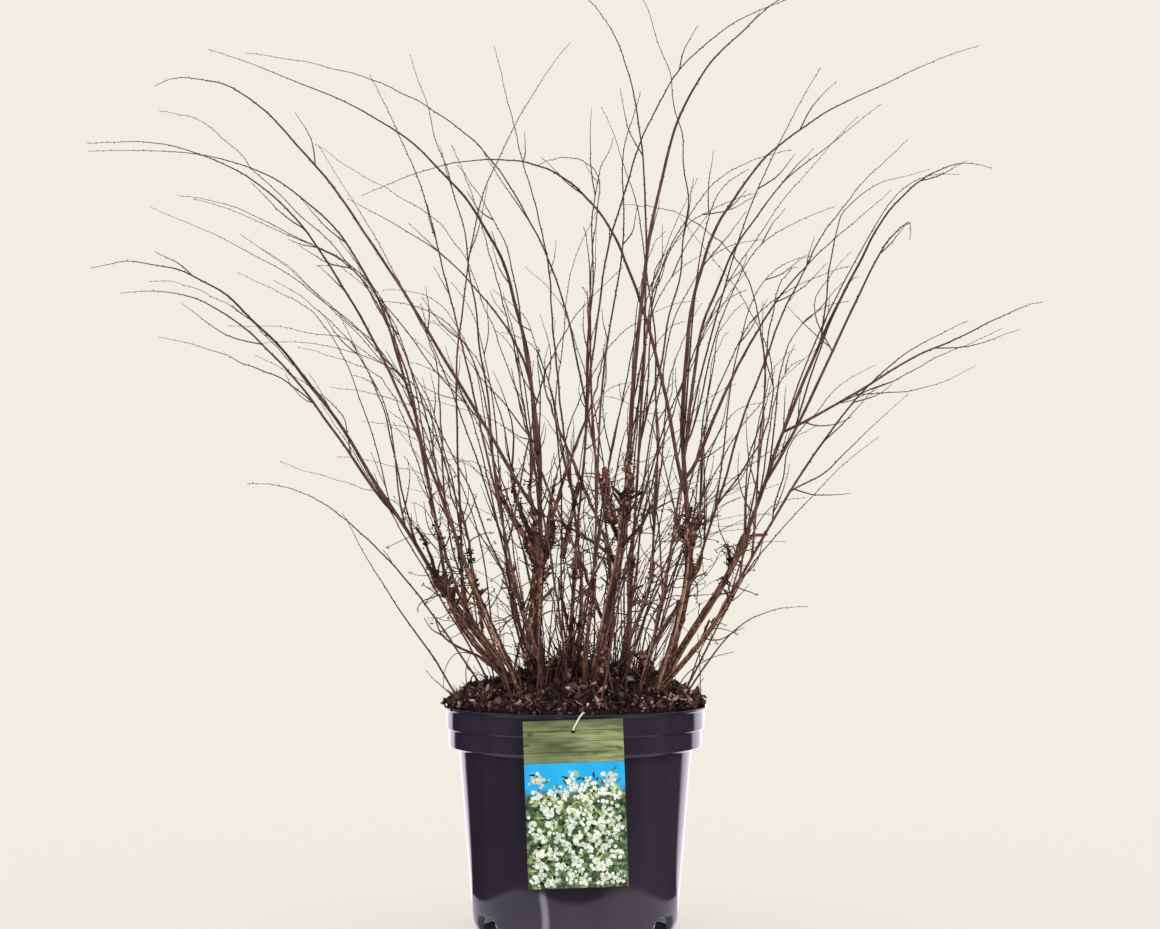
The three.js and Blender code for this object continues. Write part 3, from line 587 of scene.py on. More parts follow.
class Nodes:
    """Builds a tree of shader nodes."""

    def __init__(self, tree):
        self.tree = tree

    def add(self, kind, *inputs, **settings):
        """A node with its settings, and its first inputs linked or set in order. None leaves one as it is."""
        node = self.tree.nodes.new(kind)
        for setting, value in settings.items():
            setattr(node, setting, value)
        for socket, value in zip(node.inputs, inputs):
            self.put(socket, value)
        return node

    def take(self, kind, *inputs, **settings):
        """The first output of such a node."""
        return self.add(kind, *inputs, **settings).outputs[0]

    def put(self, socket, value):
        if isinstance(value, bpy.types.NodeSocket):
            self.tree.links.new(value, socket)
        elif value is not None:
            socket.default_value = value

    def span(self, value, low, high, to_low=0.0, to_high=1.0, smooth=False):
        """The value mapped from one range to another."""
        kind = "SMOOTHSTEP" if smooth else "LINEAR"
        return self.take("ShaderNodeMapRange", value, low, high, to_low, to_high, interpolation_type=kind)

    def math(self, operation, *values):
        return self.take("ShaderNodeMath", *values, operation=operation)

    def split(self, place):
        """The three parts of a place."""
        return self.add("ShaderNodeSeparateXYZ", place).outputs

    def choose(self, ray, otherwise, shader):
        """One shader for rays of a kind, and another otherwise."""
        kind = self.add("ShaderNodeLightPath").outputs[ray]
        return self.take("ShaderNodeMixShader", kind, otherwise, shader)


class Look(Nodes):
    """A Principled material and the nodes behind it."""

    def __init__(self, name, **sockets):
        self.material = bpy.data.materials.new(name)
        self.material.use_nodes = True
        super().__init__(self.material.node_tree)
        self.shader = self.tree.nodes["Principled BSDF"]
        for socket, value in sockets.items():
            self.set(socket.replace("_", " "), value)
        self.place = self.add("ShaderNodeTexCoord").outputs["Object"]

    def set(self, socket, value):
        self.put(self.shader.inputs[socket], value)

    def noise(self, scale, stretch=(1, 1, 1), detail=3.0, sharpness=0.5):
        """Noise whose cells measure 1 / scale metres, drawn out by stretch."""
        place = self.take("ShaderNodeMapping", self.place, None, None, [1 / s for s in stretch])
        return self.take("ShaderNodeTexNoise", place, None, scale, detail, sharpness)

    def ramp(self, factor, *stops):
        """A colour ramp with stops given as (share, display colour)."""
        ramp = self.add("ShaderNodeValToRGB", factor)
        elements = ramp.color_ramp.elements
        while len(elements) < len(stops):
            elements.new(0.5)
        for element, (share, colour) in zip(elements, stops):
            element.position = share
            element.color = linear(*colour)
        return ramp.outputs[0]

    def mix(self, factor, *colours):
        """Two colours mixed, each a socket or a display colour."""
        node = self.add("ShaderNodeMix", factor, data_type="RGBA")
        for socket, colour in zip(node.inputs[6:8], colours):
            self.put(socket, linear(*colour) if isinstance(colour, tuple) else colour)
        return node.outputs[2]

    def bump(self, height, distance, strength):
        node = self.add("ShaderNodeBump", strength, distance)
        self.put(node.inputs["Height"], height)
        self.set("Normal", node.outputs[0])


def grained_look(name, tones, contrast, roughness, bump, grain, **sockets):
    """A material in two tones, whose noise also carries its roughness and its relief, if it has them."""
    look = Look(name, **sockets)
    noise = look.noise(**grain)
    look.set("Base Color", look.ramp(noise, (0.5 - contrast, tones[0]), (0.5 + contrast, tones[1])))
    if roughness:
        look.set("Roughness", look.span(noise, 0.3, 0.7, *roughness))
    if bump:
        look.bump(noise, *bump)
    return look.material


def bark_look(name, *tones, scale=260):
    """Bark with long fibres up the limb, darker in the cracks."""
    grain = {"scale": scale, "stretch": (1, 1, 7), "detail": 4, "sharpness": 0.6}
    return grained_look(name, tones, 0.16, (0.62, 0.84), (0.0006, 0.6), grain, Specular_IOR_Level=0.25)


def crumb_look(name, *tones):
    """Composted bark: a matte fibrous crumb."""
    grain = {"scale": 420, "stretch": (1, 1, 2), "detail": 5, "sharpness": 0.65}
    return grained_look(name, tones, 0.15, (0.78, 0.95), (0.0012, 0.7), grain, Specular_IOR_Level=0.2)


def pot_look():
    """Glossy moulded plastic, nearly black, with faint flow lines and a little dust."""
    look = Look("pot_plastic", IOR=1.5)
    flow = look.noise(28, stretch=(1, 1, 6), detail=2)
    speck = look.span(look.noise(900, detail=4, sharpness=0.7), 0.62, 0.75)
    plain = look.ramp(flow, (0.3, (42, 36, 49)), (0.7, (51, 44, 59)))
    look.set("Base Color", look.mix(speck, plain, (66, 60, 66)))
    look.set("Roughness", look.span(flow, 0.3, 0.7, 0.07, 0.12))
    look.bump(look.noise(60, stretch=(1, 1, 3), detail=1), 0.0008, 0.15)
    return look.material


def tie_look():
    """Cream plastic, faintly twisted."""
    tones = (214, 203, 176), (240, 232, 212)
    grain = {"scale": 900, "detail": 2}
    return grained_look("tie_plastic", tones, 0.2, None, (0.0003, 0.4), grain, Roughness=0.5)


def label_look():
    """The printed card: olive planks on top, blue sky and mottled green under them."""
    look = Look("label_print_card", Roughness=0.32, Specular_IOR_Level=0.5)
    hole = LABEL_HOLE[0] * MM, 0, LABEL_HOLE[1] * MM
    place = look.take("ShaderNodeMapping", look.place, hole, (0, -LABEL_TURN, 0), vector_type="TEXTURE")
    height = look.split(place)["Z"]
    top = LABEL_TOP * MM
    header = top - HEADER_SHARE * LABEL_HEIGHT * MM
    horizon = top - (1 - FIELD_SHARE) * LABEL_HEIGHT * MM
    plank = (top - header) / PLANKS

    tone = look.noise(55, stretch=(4, 1, 1), detail=2)
    grain = look.noise(300, stretch=(9, 1, 1), detail=4, sharpness=0.6)
    knots = look.noise(130, stretch=(2.4, 1, 1), detail=0)
    board = look.math("FRACT", look.math("DIVIDE", look.math("SUBTRACT", top, height), plank))
    joint = look.math("MINIMUM", board, look.math("SUBTRACT", 1.0, board))
    wood = look.mix(look.span(tone, 0.3, 0.7), (92, 103, 70), (150, 161, 114))
    wood = look.mix(look.span(grain, 0.46, 0.68, 0, 0.75), wood, (70, 76, 48))
    wood = look.mix(look.span(knots, 0.74, 0.8, 0, 0.7), wood, (54, 56, 36))
    wood = look.mix(look.span(joint, 0.015, 0.06, 0.8, 0.0), wood, (58, 62, 42))

    drift = look.noise(45, detail=2)
    sky = look.mix(drift, (6, 152, 220), (38, 182, 240))
    leaf = look.noise(210, detail=3, sharpness=0.7)
    field = look.ramp(leaf, (0.38, (30, 50, 48)), (0.52, (74, 98, 70)), (0.68, (150, 168, 112)))
    edge = look.math("MULTIPLY_ADD", look.math("SUBTRACT", drift, 0.5), 0.03, height)
    picture = look.mix(look.span(edge, horizon - 0.004, horizon + 0.004), field, sky)
    look.set("Base Color", look.mix(look.span(height, header - 0.0002, header + 0.0002), picture, wood))
    return look.material


def plain_print(name, *tones):
    """Ink on the card, a little uneven."""
    return grained_look(name, tones, 0.15, None, None, {"scale": 500, "detail": 2}, Roughness=0.34)


# ---------------------------------------------------------------- studio

def make_camera():
    """A long lens, straight ahead."""
    data = bpy.data.cameras.new("photo_camera")
    data.lens = CAMERA_LENS
    data.sensor_width = 36.0
    data.clip_end = 2 * FLOOR_RADIUS
    camera = link(bpy.data.objects.new("photo_camera", data))
    camera.location = CAMERA_PLACE
    camera.rotation_euler = (math.pi / 2, 0, 0)
    bpy.context.scene.camera = camera


def make_world():
    """A plain cream backdrop. The studio that lights the shrub is neutral, and its gloss shows a white
    backdrop behind the shrub, a lit ceiling and a dark room in front."""
    bpy.context.scene.view_settings.view_transform = "Standard"
    world = bpy.data.worlds.new("studio")
    bpy.context.scene.world = world
    world.use_nodes = True
    world.cycles.sampling_method = "NONE"
    room = Nodes(world.node_tree)
    across, depth, height = room.split(room.add("ShaderNodeTexCoord").outputs["Generated"])
    lean = room.math("MULTIPLY_ADD", across, BACKDROP_LEAN, depth)
    behind = room.span(lean, *BACKDROP_EDGE, 0.0, BACKDROP_LIGHT, True)
    above = room.span(height, *CEILING_EDGE, 0.0, CEILING_LIGHT, True)
    shown = room.take("ShaderNodeBackground", linear(*CREAM))
    soft = room.take("ShaderNodeBackground", AMBIENT)
    gloss = room.take("ShaderNodeBackground", MIRRORED_ROOM, room.math("MAXIMUM", behind, above))
    unseen = room.choose("Is Glossy Ray", soft, gloss)
    room.put(room.tree.nodes["World Output"].inputs[0], room.choose("Is Camera Ray", unseen, shown))


def floor_look():
    """The pale floor. It glows, so that it runs on into the backdrop, and gloss shows it lit only near the
    pot and behind it, with a bright streak that curls away from the pot."""
    look = Look("floor", Roughness=1.0, Specular_IOR_Level=0.0)
    look.material.cycles.emission_sampling = "NONE"
    look.set("Base Color", [cream / light for cream, light in zip(linear(*CREAM), AMBIENT)])
    across, depth, _ = look.split(look.place)
    reach = look.add("ShaderNodeVectorMath", look.place, operation="LENGTH").outputs["Value"]
    lean = look.math("MULTIPLY_ADD", across, BACKDROP_LEAN, depth)
    behind = look.span(look.math("DIVIDE", lean, reach), *BACKDROP_EDGE, 0.0, REAR_FLOOR_LIGHT, True)
    bearing = look.math("ARCTAN2", across, look.math("MULTIPLY", depth, -1.0))
    lobes = look.math("MULTIPLY", look.math("COSINE", look.math("MULTIPLY", bearing, LOBES)), LOBE_REACH)
    near = look.span(look.math("ADD", reach, lobes), *LIT_FLOOR_EDGE, 1.0, 0.0, True)
    curl = look.math("MULTIPLY_ADD", reach, STREAK_CURL, STREAK_START)
    off = look.math("ABSOLUTE", look.math("ADD", bearing, curl))
    streak = look.span(off, *STREAK_EDGE, STREAK_LIGHT, 1.0, True)
    strength = look.math("MAXIMUM", behind, look.math("MULTIPLY", near, streak))
    glow = look.take("ShaderNodeEmission", linear(*CREAM), 1.0)
    gloss = look.take("ShaderNodeEmission", MIRRORED_FLOOR, strength)
    shaded = look.span(reach, *SHADE_EDGE, 1.0, SHADE_SHARE)
    seen = look.take("ShaderNodeMixShader", shaded, glow, look.shader.outputs[0])
    look.put(look.tree.nodes["Material Output"].inputs[0], look.choose("Is Glossy Ray", seen, gloss))
    return look.material


def make_floor():
    """A round floor at z = 0."""
    mesh = bpy.data.meshes.new("floor")
    rim = [(x, y, 0) for x, y in around(FLOOR_RADIUS, bearings(64))]
    mesh.from_pydata(rim, [], [range(len(rim))])
    mesh.materials.append(floor_look())
    floor = link(bpy.data.objects.new("floor", mesh))
    return floor


def make_lights(floor):
    """A warm key from the upper right, a cooler fill from the left, and a slim strip that the pot mirrors.
    None of them lights the floor."""
    spared = bpy.data.collections.new("spared_by_the_lights")
    spared.objects.link(floor)
    lights = (
        # name, place, height that it faces, size, power, colour, whether gloss shows it
        ("key", (1.7, -2.3, 1.9), 0.35, (1.6, 1.6), 56, (1.0, 0.94, 0.87), False),
        ("fill", (-2.4, -1.6, 1.2), 0.35, (1.4, 1.8), 16, (0.94, 0.95, 1.0), False),
        ("strip", (-1.35, -1.75, 0.25), 0.05, (0.1, 0.9), 1.2, (1.0, 0.98, 1.0), True),
    )
    for name, place, aim, size, power, colour, mirrored in lights:
        data = bpy.data.lights.new(name, "AREA")
        data.shape = "RECTANGLE"
        data.size, data.size_y = size
        data.energy = power
        data.color = colour
        light = link(bpy.data.objects.new(name, data))
        light.location = place
        x, y, z = vec(0, 0, aim) - place
        light.rotation_euler = (math.atan2(np.hypot(x, y), -z), 0, math.atan2(-x, y))
        light.visible_camera = False
        light.visible_glossy = mirrored
        light.light_linking.receiver_collection = spared
    for member in spared.collection_objects:
        member.light_linking.link_state = "EXCLUDE"


# ---------------------------------------------------------------- pot, soil and label

def notch_height(angles):
    """How high the foot is notched at each bearing: flat-topped arches with sloping sides."""
    turns_away = angles[:, None] - np.radians(NOTCH_BEARINGS)
    off = np.abs(np.angle(np.exp(1j * turns_away))).min(axis=1)
    return NOTCH_HEIGHT * np.clip((NOTCH_BOTTOM_HALF - off) / (NOTCH_BOTTOM_HALF - NOTCH_TOP_HALF), 0, 1)


def make_pot():
    """The pot: out under its floor to the foot, up the wall to the lip, and back down inside."""
    foot, lower, upper = FOOT_RADIUS, LOWER_BAND_RADIUS, UPPER_BAND_RADIUS
    slope = (WALL_TOP_RADIUS - foot) / (WALL_TOP - FOOT_ROUNDING)
    profile = [
        # radius, height, rounding
        (0, 0, 0), (CHANNEL_INNER, 0, 2), (CHANNEL_INNER + 2, CHANNEL_HEIGHT, 2),
        (foot - 8, CHANNEL_HEIGHT, 1.5), (foot - 7, 0, 0.5), (foot - 4.6, 0, 2), (foot - 0.7, 8, 6),
        (foot, FOOT_ROUNDING, 6), (foot + 60 * slope, FOOT_ROUNDING + 60, 0),
        (foot + 120 * slope, FOOT_ROUNDING + 120, 0), (WALL_TOP_RADIUS, WALL_TOP, 3),
        (lower, WALL_TOP + 2, 1.6), (lower + 0.4, BAND_STEP - 0.8, 1.2),
        (upper, BAND_STEP, 1.4), (upper + 0.2, POT_HEIGHT - 3.5, 1.6),
        (LIP_RADIUS, POT_HEIGHT - 2, 0.9), (LIP_RADIUS, POT_HEIGHT, 0.9),
        (upper - WALL - 0.3, POT_HEIGHT, 1.2), (upper - WALL - 0.6, BAND_STEP + 1.8, 1),
        (lower - WALL, BAND_STEP + 1, 1), (lower - WALL - 0.4, WALL_TOP + 4, 1),
        (WALL_TOP_RADIUS - WALL, WALL_TOP + 2, 1), (foot - WALL, CHANNEL_HEIGHT + 2, 1),
        (CHANNEL_INNER + 0.4, CHANNEL_HEIGHT + 2, 1), (CHANNEL_INNER - 1.6, 2, 1), (0, 2, 0),
    ]

    def notched(points):
        """Squeezes the foot's skirt up over each notch."""
        x, y, z = points.T
        height = notch_height(np.arctan2(y, x))
        top = CHANNEL_HEIGHT - 1
        skirt = (np.hypot(x, y) > CHANNEL_INNER + 8) & (z < top)
        points[:, 2] = np.where(skirt, height + (top - height) * z / top, z)
        return points

    batch = Batch()
    add_lathe(batch, rounded(profile), 288, notched)
    batch.build("round_pot", [pot_look()], "pot_plastic", ["pot"])


def soil_spots(rng, count, reach):
    """Random places on the heap, within a distance of the axis."""
    radius = reach * np.sqrt(rng.uniform(0, 1, count))
    return on_soil(around(radius, rng.uniform(0, 2 * np.pi, count)))


def clump_spots(rng, count):
    """Random places in the dead clumps, and how high the clump stands at each."""
    clumps = np.array(CLUMPS)[rng.integers(0, len(CLUMPS), count)]
    off = 0.5 * clumps[:, 2:3] * rng.normal(0, 1, (2, count)).T
    return on_soil(clumps[:, :2] + off), clumps[:, 3]


def curls(rng, roots, headings, lengths, bend, rings):
    """Short lines that wander as they grow: (count, rings, 3)."""
    count = len(roots)
    drift = rng.normal(0, bend, (count, rings - 1, 3)).cumsum(axis=1)
    steps = unit(headings[:, None] + drift) * (lengths / (rings - 1))[:, None, None]
    return np.concatenate([roots[:, None], roots[:, None] + steps.cumsum(axis=1)], axis=1)


def add_heap(batch):
    """The lumpy top of the compost, closed underneath."""
    rings = np.linspace(SOIL_RADIUS, 1.5, 62)
    profile = [(0, SOIL_FLOOR), (110, SOIL_FLOOR), (SOIL_RADIUS - 3, SOIL_FLOOR + 16)]
    profile += [(radius, SOIL_CROWN) for radius in rings] + [(0, SOIL_CROWN)]

    def heaped(points):
        x, y, z = points.T
        rough = 1.1 * np.sin(x / 2.9 + np.sin(y / 4.1)) * np.sin(y / 3.3 + np.sin(x / 3.7))
        points[:, 2] = np.where(z == SOIL_CROWN, soil_height(points) - 1.5 + rough, z)
        return points

    add_lathe(batch, profile, 180, heaped)


def add_soil_crumbs(batch, rng):
    """Crumbs and chips all over the heap, and more that bury its rim and the tie's end."""
    kinds = (
        # count, reach, half lengths low and high, lift, tilt, shares of the soil's looks
        (3000, 133, (0.9, 0.7, 0.6), (3.0, 2.2, 1.6), 3.0, 1.2, (0.56, 0.28, 0.1, 0.06)),
        (1100, 132, (2.2, 1.7, 1.2), (6.2, 4.6, 3.2), 5.0, 1.3, (0.66, 0.24, 0.07, 0.03)),
        (520, 131, (3.6, 1.2, 0.7), (10.0, 3.2, 1.8), 6.0, 1.2, (0.45, 0.32, 0.14, 0.09)),
        (280, 126, (4.0, 3.2, 2.4), (9.0, 7.0, 5.0), 5.0, 1.5, (0.82, 0.18, 0.0, 0.0)),
        (70, 130, (4.0, 2.6, 1.4), (8.0, 5.0, 2.6), 9.0, 1.0, (0.0, 0.1, 0.4, 0.5)),
    )
    for count, reach, low, high, lift, tilt, shares in kinds:
        places = soil_spots(rng, count, reach)
        places[:, 2] += rng.uniform(-0.5, lift, count)
        tints = rng.choice(4, count, p=shares)
        add_crumbs(batch, rng, places, rng.uniform(low, high, (count, 3)), tilt, tints)

    def strew(places, low, high, *shares):
        sizes = rng.uniform(low, high, places.shape)
        add_crumbs(batch, rng, places, sizes, 1.2, rng.choice(len(shares), len(places), p=shares))

    # along the rim: count, how far from the axis, how high
    for count, reach, heights in ((560, (118, 132), (238, 248)), (420, (127, 139.5), (236, 243))):
        bearing = rng.uniform(0, 2 * np.pi, count)
        edge = around(rng.uniform(*reach, count), bearing)
        edge = np.column_stack([edge, rng.uniform(*heights, count)])
        strew(edge, (1.2, 1.0, 0.8), (5.0, 3.4, 2.8), 0.55, 0.28, 0.11, 0.06)
    # where the tie goes in
    buried = rng.uniform((5, -136.5, 236), (20, -121, 243), (60, 3))
    strew(buried, (1.6, 1.4, 1.2), (4.6, 3.4, 2.8), 0.7, 0.25, 0.05)


def make_soil():
    """The compost, with the litter on it."""
    rng = np.random.default_rng(SOIL_SEED)
    batch = Batch()
    add_heap(batch)
    add_soil_crumbs(batch, rng)
    looks = [crumb_look(*row) for row in SOIL_CRUMBS]
    batch.build("bark_compost", looks, "bark_compost", ["soil"], smooth=False)
    make_litter(rng)


def make_litter(rng):
    """Fibres and dead sticks that lie and stand in the compost, and the dark clumps between the canes."""
    batch = Batch()
    kinds = (
        # count, reach or none for the clumps, lengths, radii, how far they rise and wander, shares of tints
        (700, 131, (6, 22), (0.25, 0.6), 0.25, 0.45, (0.45, 0.35, 0, 0, 0.2)),
        (220, 133, (8, 24), (0.6, 1.5), 0.8, 0.5, (0.5, 0.35, 0.15, 0, 0)),
        (50, 90, (20, 54), (0.35, 0.8), 1.0, 0.3, (0.6, 0.25, 0.15, 0, 0)),
        (120, None, (16, 62), (0.4, 1.1), 1.4, 0.3, (0.65, 0.2, 0.15, 0, 0)),
    )
    for count, reach, lengths, radii, rise, wander, shares in kinds:
        roots = soil_spots(rng, count, reach) if reach else clump_spots(rng, count)[0]
        roots[:, 2] += 1
        headings = unit(rng.normal(0, 1, (count, 3)) * (1, 1, 0.35) + (0, 0, rise))
        lines = curls(rng, roots, headings, rng.uniform(*lengths, count), wander, 7)
        lines[..., 2] = np.maximum(lines[..., 2], soil_height(lines) - 1)
        spread = np.linalg.norm(lines[..., :2], axis=-1, keepdims=True)
        lines[..., :2] *= np.minimum(1, LITTER_RADIUS / np.maximum(spread, 1))
        thickness = rng.uniform(*radii, (count, 1)) * np.linspace(1, 0.5, 7)
        add_tubes(batch, lines, thickness, 4, rng.choice(5, count, p=shares))
    for spot, height in zip(*clump_spots(rng, 90)):
        centre = spot + (0, 0, 2 + height * rng.uniform() ** 1.6)
        count = int(rng.integers(4, 15))
        places = centre + rng.normal(0, 3.2, (count, 3))
        sizes = rng.uniform(0.8, 2.8, (count, 3))
        add_crumbs(batch, rng, places, sizes, 1.5, rng.choice(2, count, p=(0.8, 0.2)))
    looks = [crumb_look(name + "_fine", *tones) for name, *tones in SOIL_CRUMBS]
    batch.build("bark_litter", looks, "bark_compost", ["soil"])


def smooth_line(points, per_step):
    """A Catmull-Rom line through the points."""
    points = np.asarray(points, float)
    padded = np.concatenate([[2 * points[0] - points[1]], points, [2 * points[-1] - points[-2]]])
    line = []
    for i in range(1, len(padded) - 2):
        a, b, c, d = padded[i - 1 : i + 3]
        for t in np.arange(per_step) / per_step:
            line.append(0.5 * (2 * b + (c - a) * t + (2 * a - 5 * b + 4 * c - d) * t**2
                               + (3 * b - a - 3 * c + d) * t**3))
    return np.array(line + [points[-1]])


def make_tie():
    """The tie runs from a toggle behind the card, through its hole, over the lip and into the soil."""
    x, hole = LABEL_HOLE
    behind = LABEL_BACK + TIE_RADIUS + 0.35
    before = LABEL_BACK - LABEL_THICKNESS - TIE_RADIUS - 0.4
    in_hole = hole + LABEL_HOLE_RADIUS - TIE_RADIUS - GAP
    over_lip = POT_HEIGHT + TIE_RADIUS + GAP
    inside = -(UPPER_BAND_RADIUS - WALL - 0.6) + TIE_RADIUS + 0.6
    soil_top = soil_height(vec(x + 16, inside + 9))
    route = smooth_line([
        (x, behind, in_hole), (x, (behind + before) / 2, in_hole), (x + 0.2, before + 0.2, in_hole + 0.6),
        (x + 1.6, before - 0.5, in_hole + 4), (x + 6.5, before - 0.5, POT_HEIGHT - 2),
        (x + 8.5, before, over_lip - 0.4), (x + 10, before + 3, over_lip + 1),
        (x + 13, inside, over_lip + 1.2), (x + 15, inside + 5, max(soil_top + 3, over_lip + 2)),
        (x + 16, inside + 9, soil_top - 3),
    ], 6)
    toggle = np.linspace((x - TOGGLE_HALF, behind, in_hole), (x + TOGGLE_HALF, behind, in_hole), 6)
    batch = Batch()
    for line in (route, toggle):
        add_tube(batch, line, np.full(len(line), TIE_RADIUS), 10)
    batch.build("cream_tie", [tie_look()], "tie_plastic", ["label_tie"])


def turned(points, turn):
    """Flat points turned about their origin."""
    return points @ np.array([[math.cos(turn), math.sin(turn)], [-math.sin(turn), math.cos(turn)]])


def add_inlay(batch, outline, at, turn, lift, tint):
    """A flat closed shape on the card's face. outline is (corners, 2), at the card's own place."""
    corners = len(outline)
    flat = turned(turned(outline, turn) + at, LABEL_TURN) + LABEL_HOLE
    face = LABEL_BACK - LABEL_THICKNESS
    back = np.column_stack([flat[:, 0], np.full(corners, face + 0.02), flat[:, 1]])
    front = back - (0, 0.02 + lift, 0)
    points = np.concatenate([back, front, [back.mean(axis=0), front.mean(axis=0)]])
    batch.add(points, *tube_faces(2, corners), tint, tint)


def make_label_print():
    """A generic flower print: round heads of small white blossoms, with leaves between them."""
    rng = np.random.default_rng(PRINT_SEED)
    batch = Batch()
    left = PRINT_MARGIN - LABEL_WIDTH / 2
    low = LABEL_TOP - LABEL_HEIGHT + PRINT_MARGIN
    top = LABEL_TOP - HEADER_SHARE * LABEL_HEIGHT - 12
    angles = bearings(20)
    blossom = around(0.55 + 0.45 * np.abs(np.cos(2.5 * angles)), angles)
    centre = around(0.28, angles[::2])
    leaf = around(1, bearings(12))
    leaf[:, 1] *= 0.3 * (1 - 0.5 * leaf[:, 0])
    heads = []
    for row in range(8):
        for column in range(6):
            spot = vec(left + 4, low + 5) + vec(column + 0.5 * (row % 2), row) * HEAD_STEP
            spot += rng.uniform(-3.5, 3.5, 2)
            if spot[0] < -left and spot[1] < top - 5 * abs(math.sin(0.09 * spot[0])):
                heads.append(spot)

    def on_card(spot, reach):
        across = abs(spot[0]) + reach < LABEL_WIDTH / 2 - 0.5
        return across and spot[1] - reach > low - 3.5 and spot[1] < top + 9

    for spot in heads:
        for _ in range(9):
            at = spot + rng.uniform(-9.5, 9.5, 2)
            size = rng.uniform(2.4, 4.4)
            if on_card(at, size):
                add_inlay(batch, leaf * size, at, rng.uniform(0, 2 * np.pi), 0.03, rng.integers(2, 5))
    for spot in heads:
        for _ in range(16):
            at = spot + rng.normal(0, 3.8, 2)
            size = rng.uniform(1.5, 2.7)
            if on_card(at, size):
                turn = rng.uniform(0, 2 * np.pi)
                add_inlay(batch, blossom * size, at, turn, rng.uniform(0.06, 0.12), rng.integers(0, 2))
                add_inlay(batch, centre * size, at, turn, 0.15, 5)
    batch.build("label_print", [plain_print(*row) for row in PRINTS], "label_card", [], smooth=False)
    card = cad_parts["label"].data
    card.materials.clear()
    card.materials.append(label_look())


# ---------------------------------------------------------------- growth, by the part's own rule

def bezier(curve, shares):
    """Points at shares of a curve that has four handles."""
    t = np.atleast_1d(np.asarray(shares, float))[:, None]
    k = 1 - t
    return k**3 * curve[0] + 3 * k**2 * t * curve[1] + 3 * k * t**2 * curve[2] + t**3 * curve[3]


def start_direction(curve):
    return unit(bezier(curve, 1e-4)[0] - curve[0])


def arch_curve(root, bend, tip):
    """The arch of a long shoot: it passes its bend halfway, with both handles towards one shoulder."""
    ends = (1 + 3 * (1 - ARCH_PULL)) / 8
    shoulder = (bend - ends * (root + tip)) / (1 - 2 * ends)
    return np.array([root, root + ARCH_PULL * (shoulder - root), tip + ARCH_PULL * (shoulder - tip), tip])


class Shoot:
    """A long shoot: its rule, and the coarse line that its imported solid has."""

    def __init__(self, curve, root_radius, draw, steps=SHOOT_STEPS):
        span = curve[3] - curve[0]
        self.curve = curve
        self.root_radius = root_radius
        self.steps = steps
        self.side = unit(vec(-span[1], span[0], 0))
        self.sway = np.linalg.norm(span) * draw(-SHOOT_SWAY, SHOOT_SWAY)
        self.waves = draw(0.7, 1.6)
        shares = np.linspace(0, 1, steps + 1)
        self.coarse = self.line(shares)
        radii = TIP_RADIUS + (root_radius - TIP_RADIUS) * (1 - shares) ** TAPER_POWER
        self.solid = self.coarse, radii

    def line(self, shares):
        """Its points, which sway a little out of the curve."""
        offset = self.sway * np.sin(np.pi * shares) * np.sin(2 * np.pi * self.waves * shares)
        return bezier(self.curve, shares) + offset[:, None] * self.side

    def coarse_at(self, share):
        """A point on the coarse line, with the direction of growth there."""
        along = share * self.steps
        step = min(math.floor(along), self.steps - 1)
        leap = self.coarse[step + 1] - self.coarse[step]
        return self.coarse[step] + leap * (along - step), unit(leap)


def piece_distance(a, a_to, b, b_to):
    """Least distances between straight pieces, for arrays of them."""
    first, second, between = a_to - a, b_to - b, a - b
    aa, bb, ab = dot(first, first), dot(second, second), dot(first, second)
    ac, bc = dot(first, between), dot(second, between)
    spread = aa * bb - ab * ab
    skew = spread > 1e-9 * aa * bb
    along = np.where(skew, np.clip((ab * bc - ac * bb) / np.where(skew, spread, 1), 0, 1), 0)
    across = (ab * along + bc) / bb
    outside = (across < 0) | (across > 1)
    across = np.clip(across, 0, 1)
    along = np.where(outside, np.clip((ab * across - ac) / aa, 0, 1), along)
    return np.linalg.norm(between + first * along - second * across, axis=-1)


class Clearing:
    """Every straight piece of limb that has been placed, with its node's name."""

    def __init__(self):
        self.starts, self.ends, self.radii, self.owners = [], [], [], []

    def place(self, line, radii, owner):
        self.starts += list(line[:-1])
        self.ends += list(line[1:])
        self.radii += list(radii[:-1])
        self.owners += [owner] * (len(line) - 1)

    def is_clear(self, line, radii, owner):
        """Whether a line keeps clear of everything placed that has another name."""
        others = np.array([name != owner for name in self.owners])
        starts, ends = np.array(self.starts)[others], np.array(self.ends)[others]
        needed = radii[:-1, None] + np.array(self.radii)[others] + CLEARANCE
        away = piece_distance(line[:-1, None], line[1:, None], starts[None], ends[None])
        return bool((away > needed).all())


def crown_top(reach):
    """The crown's height at a distance from the axis."""
    share = min(reach / CROWN_RADIUS, 1)
    return CROWN_FLOOR + (CROWN_HEIGHT - CROWN_FLOOR) * math.sqrt(1 - share**3)


def seeded_arch(root, heading, draw, spread=SEEDED_SPREAD, rises=SEEDED_RISE, leans=SEEDED_LEAN):
    """Where a seeded shoot bends and ends: outwards from its cane, inside the crown's outline."""
    bearing = heading + draw(-spread, spread)
    rise = draw(*rises)
    away = rise * draw(*leans)
    tip = root + vec(away * math.cos(bearing), away * math.sin(bearing), 0)
    tip[2] = min(root[2] + rise, crown_top(math.hypot(tip[0], tip[1])))
    outwards = draw(0.28, 0.42)
    upwards = draw(0.66, 0.82)
    bend = root + (tip - root) * vec(outwards, outwards, upwards)
    return arch_curve(root, bend, tip)


